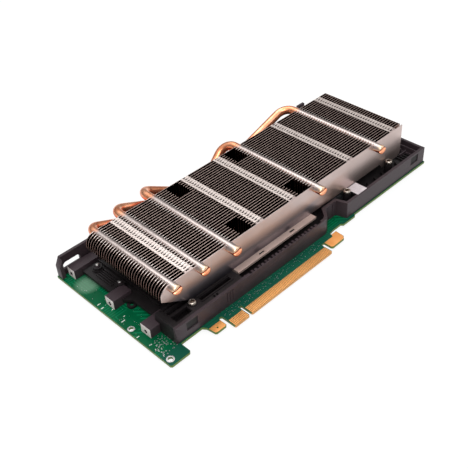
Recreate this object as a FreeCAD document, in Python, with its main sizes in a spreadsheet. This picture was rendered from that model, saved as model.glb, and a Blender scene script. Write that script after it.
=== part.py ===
import FreeCAD, Part
import math
import os

import Sketcher
from FreeCAD import Vector

# Passive dual-slot accelerator card, lying on its solder side with the heat sink up.
# Millimetres. X runs along the card from the bracket end, Y from the contact tips to the far edge, Z up.
# The origin is the centre of the card's outline, level with the screw heads that the card rests on.

DOC = FreeCAD.newDocument("accelerator_card")
SHEET = DOC.addObject("Spreadsheet::Sheet", "dims")


class Dim:
    """A length that carries both its number and the sheet expression that gives it."""

    def __init__(self, number, text):
        self.number = number
        self.text = text

    def joined(self, other, sign, result):
        return Dim(result, f"({self.text} {sign} {as_dim(other).text})")

    def __add__(self, other):
        return self.joined(other, "+", self.number + as_dim(other).number)

    def __sub__(self, other):
        return self.joined(other, "-", self.number - as_dim(other).number)

    def __mul__(self, other):
        return self.joined(other, "*", self.number * as_dim(other).number)

    def __truediv__(self, other):
        return self.joined(other, "/", self.number / as_dim(other).number)

    def __neg__(self):
        return Dim(-self.number, f"(0 - {self.text})")

    def __radd__(self, other):
        return as_dim(other) + self

    def __rsub__(self, other):
        return as_dim(other) - self

    def __rmul__(self, other):
        return as_dim(other) * self


def as_dim(value):
    return value if isinstance(value, Dim) else Dim(float(value), f"{float(value):.6f}")


def dimension(alias, number):
    """Put one driving dimension in the sheet and return it."""
    dimension.row += 1
    SHEET.set(f"A{dimension.row}", alias)
    SHEET.set(f"B{dimension.row}", str(number))
    SHEET.setAlias(f"B{dimension.row}", alias)
    return Dim(float(number), f"dims.{alias}")


dimension.row = 0

# ---------------------------------------------------------------- driving dimensions

# Places along the card are counted from its bracket end, places across it from the contact tips,
# and heights from the board's component face.
board_length = dimension("board_length", 247.65)
board_depth = dimension("board_depth", 111.15)
board_thick = dimension("board_thick", 1.57)
near_edge = dimension("near_edge", 13.2)
head_height = dimension("head_height", 1.6)

finger_start = dimension("finger_start", 44.14)
short_fingers = dimension("short_fingers", 11.65)
key_notch = dimension("key_notch", 1.9)
long_fingers = dimension("long_fingers", 71.65)
contact_pitch = dimension("contact_pitch", 1.0)
contact_width = dimension("contact_width", 0.7)
contact_length = dimension("contact_length", 5.2)
contact_thick = dimension("contact_thick", 0.05)

fin_pitch = dimension("fin_pitch", 2.11)
fin_thick = dimension("fin_thick", 0.4)
fin_first = dimension("fin_first", 24.6)
fin_bottom = dimension("fin_bottom", 12.0)
fin_top = dimension("fin_top", 33.0)
fin_left = dimension("fin_left", 14.1)
fin_right = dimension("fin_right", 232.4)
nose_bottom = dimension("nose_bottom", 24.0)
nose_run = dimension("nose_run", 19.5)
nose_radius = dimension("nose_radius", 6.5)
tab_width = dimension("tab_width", 6.0)
tab_thick = dimension("tab_thick", 0.45)
tab_gap = dimension("tab_gap", 0.25)

pipe_radius = dimension("pipe_radius", 3.0)
pipe_proud = dimension("pipe_proud", 0.2)
pipe_bend = dimension("pipe_bend", 8.5)
seat_top = dimension("seat_top", 3.8)
seat_bottom = dimension("seat_bottom", 2.4)
pipe_low = dimension("pipe_low", 8.8)
pipe_inner_end = dimension("pipe_inner_end", 32.0)

chip_x = dimension("chip_x", 106.5)
chip_y = dimension("chip_y", 58.5)
well_half = dimension("well_half", 4.8)
screw_reach_x = dimension("screw_reach_x", 25.4)
screw_reach_y = dimension("screw_reach_y", 26.4)

wall_height = dimension("wall_height", 11.9)
wall_thick = dimension("wall_thick", 2.0)
tall_wall = dimension("tall_wall", 14.8)
floor_low = dimension("floor_low", 2.2)
floor_thick = dimension("floor_thick", 2.0)
near_wall = dimension("near_wall", 13.9)
far_wall = dimension("far_wall", 110.4)
boss_reach = dimension("boss_reach", 5.7)
boss_height = dimension("boss_height", 6.8)
tapped_radius = dimension("tapped_radius", 1.25)
tapped_depth = dimension("tapped_depth", 5.0)

# Distances from the bracket end to the centres of the five heat pipes where they cross the fins,
# where each has its sealed tip, how far it goes out beyond the far side, and where it dips into the base.
PIPES = [
    (letter, dimension(f"pipe_{letter}", centre), dimension(f"pipe_{letter}_tip", tip),
     dimension(f"pipe_{letter}_out", out), dimension(f"pipe_{letter}_base", base))
    for letter, centre, tip, out, base in (
        ("a", 22.6, 19.8, 99.9, 73.5),
        ("b", 43.2, 19.4, 101.8, 94.5),
        ("c", 66.4, 17.9, 103.6, 106.5),
        ("d", 141.8, 18.3, 101.8, 115.5),
        ("e", 202.2, 18.3, 102.0, 124.5),
    )
]
# The last pipe has a second bend, where its long shallow run turns down to the base plate.
pipe_e_knee = dimension("pipe_e_knee", 150.0)
pipe_e_knee_drop = dimension("pipe_e_knee_drop", 8.6)

# Centres of the rows of joining tabs that tie the fins together.
TAB_ROWS = [dimension(f"tab_row_{i}", x) for i, x in zip("abcde", (35.7, 92.2, 120.8, 176.2, 222.2))]

DOC.recompute()


def along(distance):
    """X of a place counted from the bracket end."""
    return distance - board_length / 2


def across(distance):
    """Y of a place counted from the contact tips."""
    return distance - board_depth / 2


def above(height):
    """Z of a height counted from the board's component face."""
    return height + board_thick + head_height


# ---------------------------------------------------------------- building helpers

NODES = []


def keep(obj, label):
    """Name a finished sub-part; its label is its node and its file."""
    obj.Label = label
    NODES.append(obj)
    return obj


def bind(obj, **expressions):
    """Bind properties to the sheet; a double underscore stands for a dot in the property's path."""
    for path, dim in expressions.items():
        obj.setExpression(path.replace("__", "."), as_dim(dim).text)


def origin_feature(body, role):
    return next(f for f in body.Origin.OriginFeatures if f.Role == role)


def new_body(name):
    body = DOC.addObject("PartDesign::Body", name)
    body.AllowCompound = True
    return body


def new_sketch(body, plane="XY_Plane", lift=None):
    sketch = body.newObject("Sketcher::SketchObject", f"{body.Name}_sketch")
    sketch.AttachmentSupport = (origin_feature(body, plane), [""])
    sketch.MapMode = "FlatFace"
    if lift is not None:
        bind(sketch, AttachmentOffset__Base__z=lift)
    return sketch


def add_loop(sketch, points):
    """Draw a closed outline whose corners are pinned to sheet expressions."""
    first = sketch.GeometryCount
    count = len(points)
    corners = [(as_dim(u), as_dim(v)) for u, v in points]
    places = [Vector(u.number, v.number, 0) for u, v in corners]
    sketch.addGeometry([Part.LineSegment(places[i], places[(i + 1) % count]) for i in range(count)])
    joins = [Sketcher.Constraint("Coincident", first + i, 2, first + (i + 1) % count, 1)
             for i in range(count)]
    pins = []
    for i, (u, v) in enumerate(corners):
        pins.append(Sketcher.Constraint("DistanceX", -1, 1, first + i, 1, u.number))
        pins.append(Sketcher.Constraint("DistanceY", -1, 1, first + i, 1, v.number))
    start = sketch.ConstraintCount + count
    sketch.addConstraint(joins + pins)
    for i, (u, v) in enumerate(corners):
        sketch.setExpression(f"Constraints[{start + 2 * i}]", u.text)
        sketch.setExpression(f"Constraints[{start + 2 * i + 1}]", v.text)


def add_circle(sketch, u, v, radius):
    """Draw a circle whose centre and radius are pinned to sheet expressions."""
    u, v, radius = as_dim(u), as_dim(v), as_dim(radius)
    index = sketch.GeometryCount
    sketch.addGeometry(Part.Circle(Vector(u.number, v.number, 0), Vector(0, 0, 1), radius.number))
    start = sketch.ConstraintCount
    sketch.addConstraint([
        Sketcher.Constraint("DistanceX", -1, 1, index, 3, u.number),
        Sketcher.Constraint("DistanceY", -1, 1, index, 3, v.number),
        Sketcher.Constraint("Radius", index, radius.number),
    ])
    for offset, dim in enumerate((u, v, radius)):
        sketch.setExpression(f"Constraints[{start + offset}]", dim.text)


def rectangle(u0, u1, v0, v1):
    return [(u0, v0), (u1, v0), (u1, v1), (u0, v1)]


def ring(u, v, radius, sides=8):
    """A small round hole or boss with few faces: a regular polygon drawn around the circle."""
    reach = radius / math.cos(math.pi / sides)
    turns = [2 * math.pi * (i + 0.5) / sides for i in range(sides)]
    return [(u + reach * math.cos(turn), v + reach * math.sin(turn)) for turn in turns]


def pad(body, loops=(), circles=(), low=None, length=1.0, plane="XY_Plane", reverse=False):
    """Add a prism to a body."""
    sketch = new_sketch(body, plane, low)
    for points in loops:
        add_loop(sketch, points)
    for u, v, radius in circles:
        add_circle(sketch, u, v, radius)
    feature = body.newObject("PartDesign::Pad", f"{body.Name}_pad")
    feature.Profile = sketch
    feature.Reversed = reverse
    bind(feature, Length=length)
    return feature


def pocket(body, loops=(), circles=(), low=None, length=1.0, plane="XY_Plane", reverse=True):
    """Cut a prism that stands on the level low out of a body."""
    sketch = new_sketch(body, plane, low)
    for points in loops:
        add_loop(sketch, points)
    for u, v, radius in circles:
        add_circle(sketch, u, v, radius)
    feature = body.newObject("PartDesign::Pocket", f"{body.Name}_pocket")
    feature.Profile = sketch
    feature.Reversed = reverse
    bind(feature, Length=length)
    return feature


def repeat(body, features, axis, step, count):
    """Repeat features along an origin axis of the body and make the result its tip."""
    pattern = body.newObject("PartDesign::LinearPattern", f"{body.Name}_pattern")
    pattern.Originals = features
    pattern.Direction = (origin_feature(body, axis), [""])
    bind(pattern, Length=as_dim(step) * (count - 1), Occurrences=count)
    body.Tip = pattern
    return pattern


def box(name, x0, x1, y0, y1, z0, z1):
    obj = DOC.addObject("Part::Box", name)
    x0, x1, y0, y1, z0, z1 = (as_dim(v) for v in (x0, x1, y0, y1, z0, z1))
    bind(obj, Length=x1 - x0, Width=y1 - y0, Height=z1 - z0)
    bind(obj, Placement__Base__x=x0, Placement__Base__y=y0, Placement__Base__z=z0)
    return obj


def post(name, x, y, z0, z1, radius, sides=12):
    """A small round post with few faces."""
    obj = DOC.addObject("Part::Prism", name)
    x, y, z0, z1 = (as_dim(v) for v in (x, y, z0, z1))
    obj.Polygon = sides
    bind(obj, Circumradius=radius, Height=z1 - z0)
    bind(obj, Placement__Base__x=x, Placement__Base__y=y, Placement__Base__z=z0)
    return obj


def fuse(name, shapes):
    obj = DOC.addObject("Part::MultiFuse", name)
    obj.Shapes = shapes
    return obj


def cut(name, base, tool):
    obj = DOC.addObject("Part::Cut", name)
    obj.Base = base
    obj.Tool = tool
    return obj


def group(name, shapes):
    obj = DOC.addObject("Part::Compound", name)
    obj.Links = shapes
    return obj


# ---------------------------------------------------------------- circuit board

long_start = finger_start + short_fingers + key_notch
long_end = long_start + long_fingers
SLOT_WIDTH = 2.6
FRAME_SCREWS = [(22.0, 26.0), (164.0, 18.9), (240.0, 22.0), (240.0, 60.0), (190.0, 105.0), (52.0, 105.5)]
BRACKET_HOLES = [(3.24, 9.0, 1.6), (2.74, 42.3, 1.45)]
FRAME_SCREW_RADIUS = 1.25


def heat_sink_screw_places():
    return [(chip_x + screw_reach_x * i, chip_y + screw_reach_y * j) for i in (-1, 1) for j in (-1, 1)]


def circuit_board():
    """The board: card-edge tongue with its key notch, retention hook, bracket ear and small tabs."""
    body = new_body("circuit_board")
    slot_left = finger_start - SLOT_WIDTH
    hook_left = long_end + 2.9
    bevel = 0.6
    outline = [
        (0.0, board_depth), (board_length, board_depth), (board_length, near_edge),
        # short tab beside the hook
        (167.6, near_edge), (166.6, 11.7), (154.8, 11.7), (153.8, near_edge), (146.4, near_edge),
        # retention hook, with its undercut open to the right
        (142.6, near_edge - 0.6), (141.2, near_edge - 1.4), (141.4, 10.9), (146.0, 10.9),
        (145.6, 4.4), (143.8, 2.6), (hook_left + 1.0, 2.4), (hook_left, 3.4),
        # relief slot, then the long and the short contact tongues
        (hook_left, 9.2), (long_end, 9.2), (long_end, bevel), (long_end - bevel, 0.0),
        (long_start + bevel, 0.0), (long_start, bevel), (long_start, 8.9),
        (long_start - key_notch, 8.9), (long_start - key_notch, bevel),
        (long_start - key_notch - bevel, 0.0),
        (finger_start + bevel, 0.0), (finger_start, bevel), (finger_start, 10.2),
        # slot and small plated tab
        (slot_left, 10.2), (slot_left, 4.8), (slot_left - 0.8, 4.2), (33.8, 4.2), (33.0, 5.0), (32.2, 11.0),
        (30.6, near_edge), (14.56, near_edge), (14.56, 5.6), (13.6, 4.67), (0.9, 4.67), (0.0, 5.6),
    ]
    pad(body, [[(along(u), across(v)) for u, v in outline]], low=head_height, length=board_thick)
    holes = [(along(u), across(v), r) for u, v, r in BRACKET_HOLES]
    small = [ring(along(36.5), across(6.8), 0.55)]
    small += [ring(along(u), across(v), FRAME_SCREW_RADIUS, 6) for u, v in FRAME_SCREWS]
    small += [ring(along(u), across(v), 1.55) for u, v in heat_sink_screw_places()]
    pocket(body, small, holes, low=head_height, length=board_thick)
    # round inner end of the slot beside the contacts
    pocket(body, [ring(along(finger_start - SLOT_WIDTH / 2), across(10.2), SLOT_WIDTH / 2)],
           low=head_height, length=board_thick)
    body.Tip = body.Group[-1]
    return keep(body, "circuit_board")


def edge_contacts(label, low):
    """One side's plated contacts: eleven on the short tongue and seventy-one on the long one."""
    body = new_body(label)
    near = across(0.45)
    runs = ((finger_start, short_fingers, 11), (long_start, long_fingers, 71))
    for start, width, count in runs:
        lead = (width - contact_pitch * (count - 1) - contact_width) / 2
        left = along(start + lead)
        first = pad(body, [rectangle(left, left + contact_width, near, near + contact_length)],
                    low=low, length=contact_thick)
        repeat(body, [first], "X_Axis", contact_pitch, count)
    return keep(body, label)


# ---------------------------------------------------------------- fin stack

pipe_axis = fin_top + pipe_proud - pipe_radius
SEAT_GAP = 0.05


def groove(centre):
    """A tapered seat in a fin's top edge, from right to left, which a heat pipe is soldered into."""
    floor = pipe_axis - pipe_radius - SEAT_GAP
    return [(centre + seat_top, fin_top), (centre + seat_bottom, floor),
            (centre - seat_bottom, floor), (centre - seat_top, fin_top)]


def nose():
    """Rounded upper corner at the bracket end, from the first groove's side down to the end face."""
    steps = 3
    groove_side = PIPES[0][1] - seat_top
    lead = math.acos((groove_side - fin_left - nose_radius).number / nose_radius.number)
    points = []
    for i in range(steps + 1):
        angle = lead + (math.pi - lead) * i / steps
        points.append((fin_left + nose_radius + nose_radius * math.cos(angle),
                       fin_top - nose_radius + nose_radius * math.sin(angle)))
    return points


def fin_outline(left=None, right=None, skirt=None):
    """A fin's side view between two cuts; None stands for the stack's own end."""
    start = fin_left.number if left is None else left.number
    stop = fin_right.number if right is None else right.number
    points = [(fin_right if right is None else right, fin_top)]
    for _, centre, *_ in reversed(PIPES):
        if start < centre.number < stop:
            points += groove(centre)
    if left is None:
        points.pop()
        points += nose()
        points += [(fin_left, nose_bottom), (fin_left + nose_run, fin_bottom)]
    else:
        points += [(left, fin_top), (left, fin_bottom)]
    end = fin_right if right is None else right
    if skirt is None:
        points.append((end, fin_bottom))
    else:
        points += skirt
    return [(along(u), above(v)) for u, v in points]


def tab_sketches(left=None, right=None):
    start = fin_left.number if left is None else left.number
    stop = fin_right.number if right is None else right.number
    reach = fin_pitch - tab_gap
    return [rectangle(along(row - tab_width / 2), along(row + tab_width / 2), 0.0, reach)
            for row in TAB_ROWS if start < row.number < stop]


def fins(label, first, count, left=None, right=None, skirt=None, tabs=True):
    """A run of parallel fins, each a thin sheet with tabs bent over to its neighbour."""
    body = new_body(label)
    sheet_pad = pad(body, [fin_outline(left, right, skirt)], length=fin_thick, plane="XZ_Plane",
                    reverse=True)
    features = [sheet_pad]
    loops = tab_sketches(left, right) if tabs else []
    if loops:
        features.append(pad(body, loops, low=above(fin_top) - tab_thick, length=tab_thick))
    if count > 1:
        repeat(body, features, "Y_Axis", fin_pitch, count)
    bind(body, Placement__Base__y=across(fin_first + fin_pitch * first))
    return keep(body, label)


def fin_stack():
    """Thirty-three sheets; six rows on each side are cut through by the two screwdriver wells."""
    left_cut = (chip_x - screw_reach_x - well_half, chip_x - screw_reach_x + well_half)
    right_cut = (chip_x + screw_reach_x - well_half, chip_x + screw_reach_x + well_half)
    # lower edge of the near plate, which hangs a little lower at its far end
    skirt = [(209.0, fin_bottom), (212.0, 8.2), (fin_right, 8.2)]
    fins("near_side_plate", 0, 1, skirt=skirt)
    for side, first in (("near", 1), ("far", 26)):
        fins(f"fins_{side}_left", first, 6, right=left_cut[0])
        fins(f"fins_{side}_centre", first, 6, left=left_cut[1], right=right_cut[0])
        fins(f"fins_{side}_right", first, 6, left=right_cut[1])
    fins("fins_middle", 7, 19)
    fins("far_side_plate", 32, 1, tabs=False)


# ---------------------------------------------------------------- heat pipes and base plate


# A pipe is drawn with twelve sides, a little outside the circle so that its section keeps its area.
PIPE_SIDES = 12
PIPE_EXTRA = 0.03
BEND_STEP = 22.5


def bent_path(points, radius):
    """Straight runs joined by tangent bends of one radius, each drawn by a few short chords."""
    places = [points[0]]
    for before, corner, after in zip(points, points[1:], points[2:]):
        into = (corner - before).normalize()
        out = (after - corner).normalize()
        half_turn = into.getAngle(out) / 2
        setback = radius * math.tan(half_turn)
        arc_start = corner - into * setback
        centre = corner + (out - into).normalize() * (radius / math.cos(half_turn))
        axis = into.cross(out).normalize()
        steps = max(1, round(math.degrees(2 * half_turn) / BEND_STEP))
        # the chords touch the arc, so the first and last corners lie on the straight runs
        reach = radius / math.cos(half_turn / steps)
        for i in range(steps):
            swing = FreeCAD.Rotation(axis, math.degrees(2 * half_turn) * (i + 0.5) / steps)
            places.append(centre + swing.multVec(arc_start - centre) * (reach / radius))
    places.append(points[-1])
    return Part.makePolygon(places)


def heat_pipe(letter, x, tip, out, base):
    """A pipe that lies in the fins' grooves, turns down behind them and ends inside the base plate."""
    top = above(pipe_axis).number
    low = above(pipe_low).number
    x_top = along(x).number
    x_base = along(base).number
    y_out = across(out).number
    y_tip = across(tip).number
    points = [Vector(x_top, y_tip, top), Vector(x_top, y_out, top)]
    if letter == "e":
        points.append(Vector(along(pipe_e_knee).number, y_out, top - pipe_e_knee_drop.number))
    points += [Vector(x_base, y_out, low), Vector(x_base, across(pipe_inner_end).number, low)]
    path = DOC.addObject("Part::Feature", f"pipe_{letter}_path")
    path.Shape = bent_path(points, pipe_bend.number)
    section = DOC.addObject("Part::RegularPolygon", f"pipe_{letter}_section")
    section.Polygon = PIPE_SIDES
    bind(section, Circumradius=pipe_radius + PIPE_EXTRA)
    section.Placement = FreeCAD.Placement(points[0], FreeCAD.Rotation(Vector(0, 0, 1), Vector(0, 1, 0)))
    sweep = DOC.addObject("Part::Sweep", f"pipe_{letter}_sweep")
    sweep.Sections = [section]
    sweep.Spine = (path, [f"Edge{i + 1}" for i in range(len(path.Shape.Edges))])
    sweep.Solid = True
    sweep.Transition = "Right corner"
    DOC.recompute()
    corner_radius = (pipe_radius + PIPE_EXTRA).number
    section_area = PIPE_SIDES / 2 * corner_radius ** 2 * math.sin(2 * math.pi / PIPE_SIDES)
    expected = section_area * path.Shape.Length
    assert abs(sweep.Shape.Volume - expected) < 0.01 * expected, f"pipe {letter} sweep volume"
    # the sealed tip, drawn in to a blunt cone
    chamfer = DOC.addObject("Part::Chamfer", f"pipe_{letter}_tip")
    chamfer.Base = sweep
    rim = [i + 1 for i, edge in enumerate(sweep.Shape.Edges)
           if all(abs(vertex.Point.y - y_tip) < 0.001 for vertex in edge.Vertexes)]
    chamfer.Edges = [(i, 1.5, 1.5) for i in rim]
    return keep(chamfer, f"heat_pipe_{letter}")


BASE_LEFT, BASE_RIGHT = 68.0, 137.4
BASE_NEAR, BASE_FAR = 24.4, 91.6
BASE_LOW = 5.6
LIP_NEAR, LIP_THICK = 19.2, 1.6
SPRING_SEAT, SPRING_TOP = 9.0, 16.0


def heatsink_base():
    """Nickel-plated block under the fins: pipe channels, screw holes, pedestal and a lip at the near side."""
    body = new_body("heatsink_base")
    left, right = along(BASE_LEFT), along(BASE_RIGHT)
    pad(body, [rectangle(left, right, across(BASE_NEAR), across(BASE_FAR))],
        low=above(BASE_LOW), length=fin_bottom - BASE_LOW)
    pad(body, [rectangle(left, right, across(LIP_NEAR), across(BASE_NEAR + 1.0))],
        low=above(fin_bottom - LIP_THICK), length=LIP_THICK)
    pedestal = 20.0
    pad(body, [rectangle(along(chip_x - pedestal), along(chip_x + pedestal),
                         across(chip_y - pedestal), across(chip_y + pedestal))],
        low=above(LID_TOP), length=BASE_LOW - LID_TOP + 0.5)
    # stepped holes: the screw passes through the lower part and its spring stands on the step
    for radius, low in ((1.8, BASE_LOW), (3.2, SPRING_SEAT)):
        places = [ring(along(u), across(v), radius) for u, v in heat_sink_screw_places()]
        pocket(body, places, low=above(low), length=fin_bottom - low)
    channels = [ring(along(base), above(pipe_low), pipe_radius + 0.05, PIPE_SIDES)
                for *_, base in PIPES]
    pocket(body, channels, plane="XZ_Plane", low=-across(pipe_inner_end),
           length=BASE_FAR - pipe_inner_end + 1.0, reverse=False)
    # two locating slots in the lip
    slots = [rectangle(along(u), along(u + 4.4), across(22.0), across(23.4)) for u in (87.5, 114.8)]
    pocket(body, slots, low=above(fin_bottom - 0.6), length=0.6)
    body.Tip = body.Group[-1]
    return keep(body, "heatsink_base")


# ---------------------------------------------------------------- parts on the board

LID_TOP = 3.5
SUBSTRATE_TOP = 1.5
CHIP_HEIGHT = 1.2


def processor():
    half = 21.0
    keep(box("processor_substrate", along(chip_x - half), along(chip_x + half), across(chip_y - half),
             across(chip_y + half), above(0), above(SUBSTRATE_TOP)), "processor_substrate")
    lid = 17.5
    keep(box("processor_lid", along(chip_x - lid), along(chip_x + lid), across(chip_y - lid),
             across(chip_y + lid), above(SUBSTRATE_TOP), above(LID_TOP)), "processor_lid")


MEMORY_PLACES = [
    (72.0, 74.0), (72.0, 58.5), (72.0, 43.0), (91.0, 27.0), (106.5, 27.0), (122.0, 27.0),
    (91.0, 90.0), (106.5, 90.0), (122.0, 90.0), (142.0, 74.0), (142.0, 58.5), (142.0, 43.0),
]


def chip_group(label, places, half_x, half_y, low, high):
    parts = [box(f"{label}_part", along(u - half_x), along(u + half_x), across(v - half_y),
                 across(v + half_y), above(low), above(high)) for u, v in places]
    return keep(group(f"{label}_group", parts), label)


def can_group(label, places, radius, low, high):
    parts = [post(f"{label}_part", along(u), across(v), above(low), above(high), radius) for u, v in places]
    return keep(group(f"{label}_group", parts), label)


INDUCTOR_PLACES = [(168.0, 32.0 + 13.0 * i) for i in range(6)]
POWER_CHIP_PLACES = [(156.5, 32.0 + 13.0 * i) for i in range(6)]
CAPACITOR_PLACES = [(180.5, 33.0 + 13.0 * i) for i in range(5)]
POWER_WINDOW = (160.5, 186.5, 25.5, 103.0)
HEADER_LEFT, HEADER_RIGHT = 234.2, 247.4
HEADER_ROOM = (66.6, 106.0)


def power_connector(label, pin_label, near, columns):
    """Right-angle power header at the end of the card, its sockets facing outwards, with its pins."""
    pitch, wall, socket, depth = 4.2, 0.95, 3.4, 10.0
    width = pitch * columns + wall * 2 - 0.6
    low, high = 0.4, 10.4
    body = new_body(label)
    pad(body, [rectangle(along(HEADER_LEFT), along(HEADER_RIGHT), across(near), across(near + width))],
        low=above(low), length=high - low)
    # latch ramp on top
    middle = near + width / 2
    pad(body, [rectangle(along(HEADER_RIGHT - 5.0), along(HEADER_RIGHT),
                         across(middle - 2.6), across(middle + 2.6))],
        low=above(high - 0.2), length=2.0)
    cells = []
    pins = []
    for i in range(columns):
        for level in (3.3, 7.5):
            place = near + wall + pitch * (i + 0.5) - 0.3
            cells.append(rectangle(across(place - socket / 2), across(place + socket / 2),
                                   above(level - socket / 2), above(level + socket / 2)))
            pins.append(box(f"{pin_label}_pin", along(HEADER_RIGHT - depth), along(HEADER_RIGHT - 2.5),
                            across(place - 0.5), across(place + 0.5),
                            above(level - 0.5), above(level + 0.5)))
    pocket(body, cells, plane="YZ_Plane", low=along(HEADER_RIGHT), length=depth, reverse=False)
    body.Tip = body.Group[-1]
    keep(body, label)
    keep(group(f"{pin_label}_group", pins), pin_label)


# ---------------------------------------------------------------- die-cast frame

RIGHT_END = 246.9
FLOOR_TOP = floor_low + floor_thick
BOSSES = [(99.6, 106.8, 22.9), (61.0, 69.0, 13.5), (28.0, 36.6, 15.0)]
TOP_SCREWS = [(32.4, 21.8), (170.1, 21.8), (215.2, 21.6)]
POST_PLACES = [(18.5, 93.0), (18.4, 70.7)]
LABEL_PAD = (172.7, 182.4)


def footprints(places):
    return [rectangle(along(u0), along(u1), across(v0), across(v1)) for u0, u1, v0, v1 in places]


def plan(points):
    return [(along(u), across(v)) for u, v in points]


def frame_near_wall():
    """Near wall with its step back beside the retention hook, down to the board, and the comb behind it."""
    body = new_body("near_wall")
    t = wall_thick
    pad(body, [plan([
        (12.7, near_wall), (139.5, near_wall), (142.6, 15.4), (147.6, 21.6), (158.6, 21.6),
        (160.9, near_wall), (RIGHT_END, near_wall), (RIGHT_END, near_wall + t), (162.6, near_wall + t),
        (160.0, 23.6), (146.6, 23.6), (141.2, 17.0), (138.6, near_wall + t), (12.7, near_wall + t),
    ])], low=above(0), length=wall_height)
    # comb of short ribs below the base plate's lip
    comb = [(70.0 + 6.0 * i, 71.6 + 6.0 * i, near_wall + 1.0, 19.0) for i in range(11)]
    pad(body, footprints(comb), low=above(FLOOR_TOP), length=4.4)
    # shallow recesses in the outer face
    recesses = [rectangle(along(u), along(u + 8.4), above(4.6), above(10.6)) for u in (20.6, 231.0)]
    pocket(body, recesses, plane="XZ_Plane", low=-across(near_wall), length=0.7, reverse=False)
    body.Tip = body.Group[-1]
    return keep(body, "frame_near_wall")


def frame_far_wall():
    """Far wall with its lug; at the bracket end it is taller, with a bevelled post and an arched gap."""
    body = new_body("far_wall")
    t = wall_thick
    pad(body, footprints([(24.0, RIGHT_END, far_wall - t, far_wall)]), low=above(0), length=wall_height)
    pad(body, [plan([(0.4, 105.6), (3.0, 105.6), (3.0, far_wall - t), (30.0, far_wall - t), (30.0, far_wall),
                     (0.4, far_wall)])], low=above(0), length=tall_wall)
    pad(body, footprints([(220.5, 227.5, far_wall - t, far_wall)]), low=above(wall_height - 1.0), length=10.0)
    arch = [(3.4, FLOOR_TOP), (16.9, FLOOR_TOP), (16.9, 7.4), (15.4, 9.1), (6.0, 9.1), (3.4, 7.2)]
    corner = [(-0.1, 15.0), (-0.1, 9.2), (0.4, 9.2), (3.3, tall_wall), (3.3, 15.0)]
    for outline in (arch, corner):
        pocket(body, [[(along(u), above(v)) for u, v in outline]], plane="XZ_Plane",
               low=-across(far_wall + 0.5), length=6.0)
    body.Tip = body.Group[-1]
    return keep(body, "frame_far_wall")


def frame_bosses():
    """Machined bosses that the slot bracket's screws go into."""
    body = new_body("bracket_bosses")
    places = [(boss_reach, boss_reach + reach, low_y, high_y) for low_y, high_y, reach in BOSSES]
    pad(body, footprints(places), low=above(0), length=boss_height)
    for low_y, high_y, _ in BOSSES:
        centre = (low_y + high_y) / 2
        pocket(body, circles=[(across(centre), above(2.9), tapped_radius)], plane="YZ_Plane",
               low=along(boss_reach), length=tapped_depth)
    body.Tip = body.Group[-1]
    return keep(body, "frame_bosses")


def frame_end_wall():
    """End wall on both sides of the power headers, and the ribs across the open end."""
    body = new_body("end_wall")
    t = wall_thick
    pad(body, footprints([(RIGHT_END - t, RIGHT_END, near_wall + t, HEADER_ROOM[0]),
                          (RIGHT_END - t, RIGHT_END, HEADER_ROOM[1], far_wall - t)]),
        low=above(0), length=wall_height)
    pad(body, footprints([(u, u + 1.2, 28.0, HEADER_ROOM[0]) for u in (233.0, 238.4)]),
        low=above(FLOOR_TOP), length=4.4)
    body.Tip = body.Group[-1]
    return keep(body, "frame_end_wall")


def frame_decks(bosses):
    """Decks beside the fins: at the bracket end and under the blank label, with the top screws' seats."""
    body = new_body("decks")
    t = wall_thick
    pad(body, footprints([(12.7, 66.6, near_wall + t, 31.6),
                          (LABEL_PAD[0], LABEL_PAD[1], near_wall + t, 26.0)]),
        low=above(wall_height - 2.0), length=2.0)
    pad(body, footprints([(12.7, 14.7, near_wall + t, 31.6)]), low=above(0), length=wall_height)
    seats = [ring(along(u), across(v), 2.7, 12) for u, v in TOP_SCREWS]
    pad(body, seats, low=above(FLOOR_TOP), length=wall_height - FLOOR_TOP)
    pocket(body, [ring(along(u), across(v), 1.25, 6) for u, v in TOP_SCREWS],
           low=above(wall_height - 6.0), length=6.0)
    body.Tip = body.Group[-1]
    return keep(cut("decks_beside_bosses", body, bosses), "frame_decks")


def frame_bracket_wall():
    """Inner wall across the bracket end."""
    wall = box("bracket_wall", along(28.6), along(30.6), across(31.6), across(far_wall - wall_thick),
               above(FLOOR_TOP), above(wall_height))
    return keep(wall, "frame_bracket_wall")


def frame_floor(around):
    """Floor over the board's components, with columns for the screws that come up through the board."""
    body = new_body("floor")
    outer = [
        (12.7, near_wall), (139.5, near_wall), (142.6, 15.4), (147.6, 21.6), (158.6, 21.6),
        (160.9, near_wall), (RIGHT_END, near_wall), (RIGHT_END, far_wall), (11.2, far_wall), (11.2, 62.0),
        (16.0, 56.0), (16.0, 36.0), (12.7, 36.0),
    ]
    pad(body, [plan(outer)], low=above(floor_low), length=floor_thick)
    pad(body, [ring(along(u), across(v), 3.0) for u, v in FRAME_SCREWS], low=above(0), length=FLOOR_TOP)
    # windows over the processor and over the power stage, and the room for the power headers
    half = 22.0
    left, right, near, far = POWER_WINDOW
    windows = [(chip_x - half, chip_x + half, chip_y - half, chip_y + half), (left, right, near, far),
               (HEADER_LEFT - 1.2, RIGHT_END + 0.5, HEADER_ROOM[0], HEADER_ROOM[1])]
    pocket(body, footprints(windows), low=above(-0.1), length=wall_height)
    # clearance for the heat sink's screws, and the holes for the board's screws
    pocket(body, [ring(along(u), across(v), 3.4) for u, v in heat_sink_screw_places()],
           low=above(floor_low - 0.1), length=floor_thick + 0.2)
    pocket(body, [ring(along(u), across(v), FRAME_SCREW_RADIUS, 6) for u, v in FRAME_SCREWS],
           low=above(0), length=3.4)
    body.Tip = body.Group[-1]
    return keep(cut("floor_inside_walls", body, fuse("around_floor", around)), "frame_floor")


def base_frame():
    """Black die-cast frame: one casting, divided where walls, decks and bosses stand on its floor."""
    walls = [frame_near_wall(), frame_far_wall(), frame_end_wall()]
    bosses = frame_bosses()
    decks = frame_decks(bosses)
    frame_bracket_wall()
    frame_floor(walls + [bosses, decks])


# ---------------------------------------------------------------- fasteners and small parts


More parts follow.
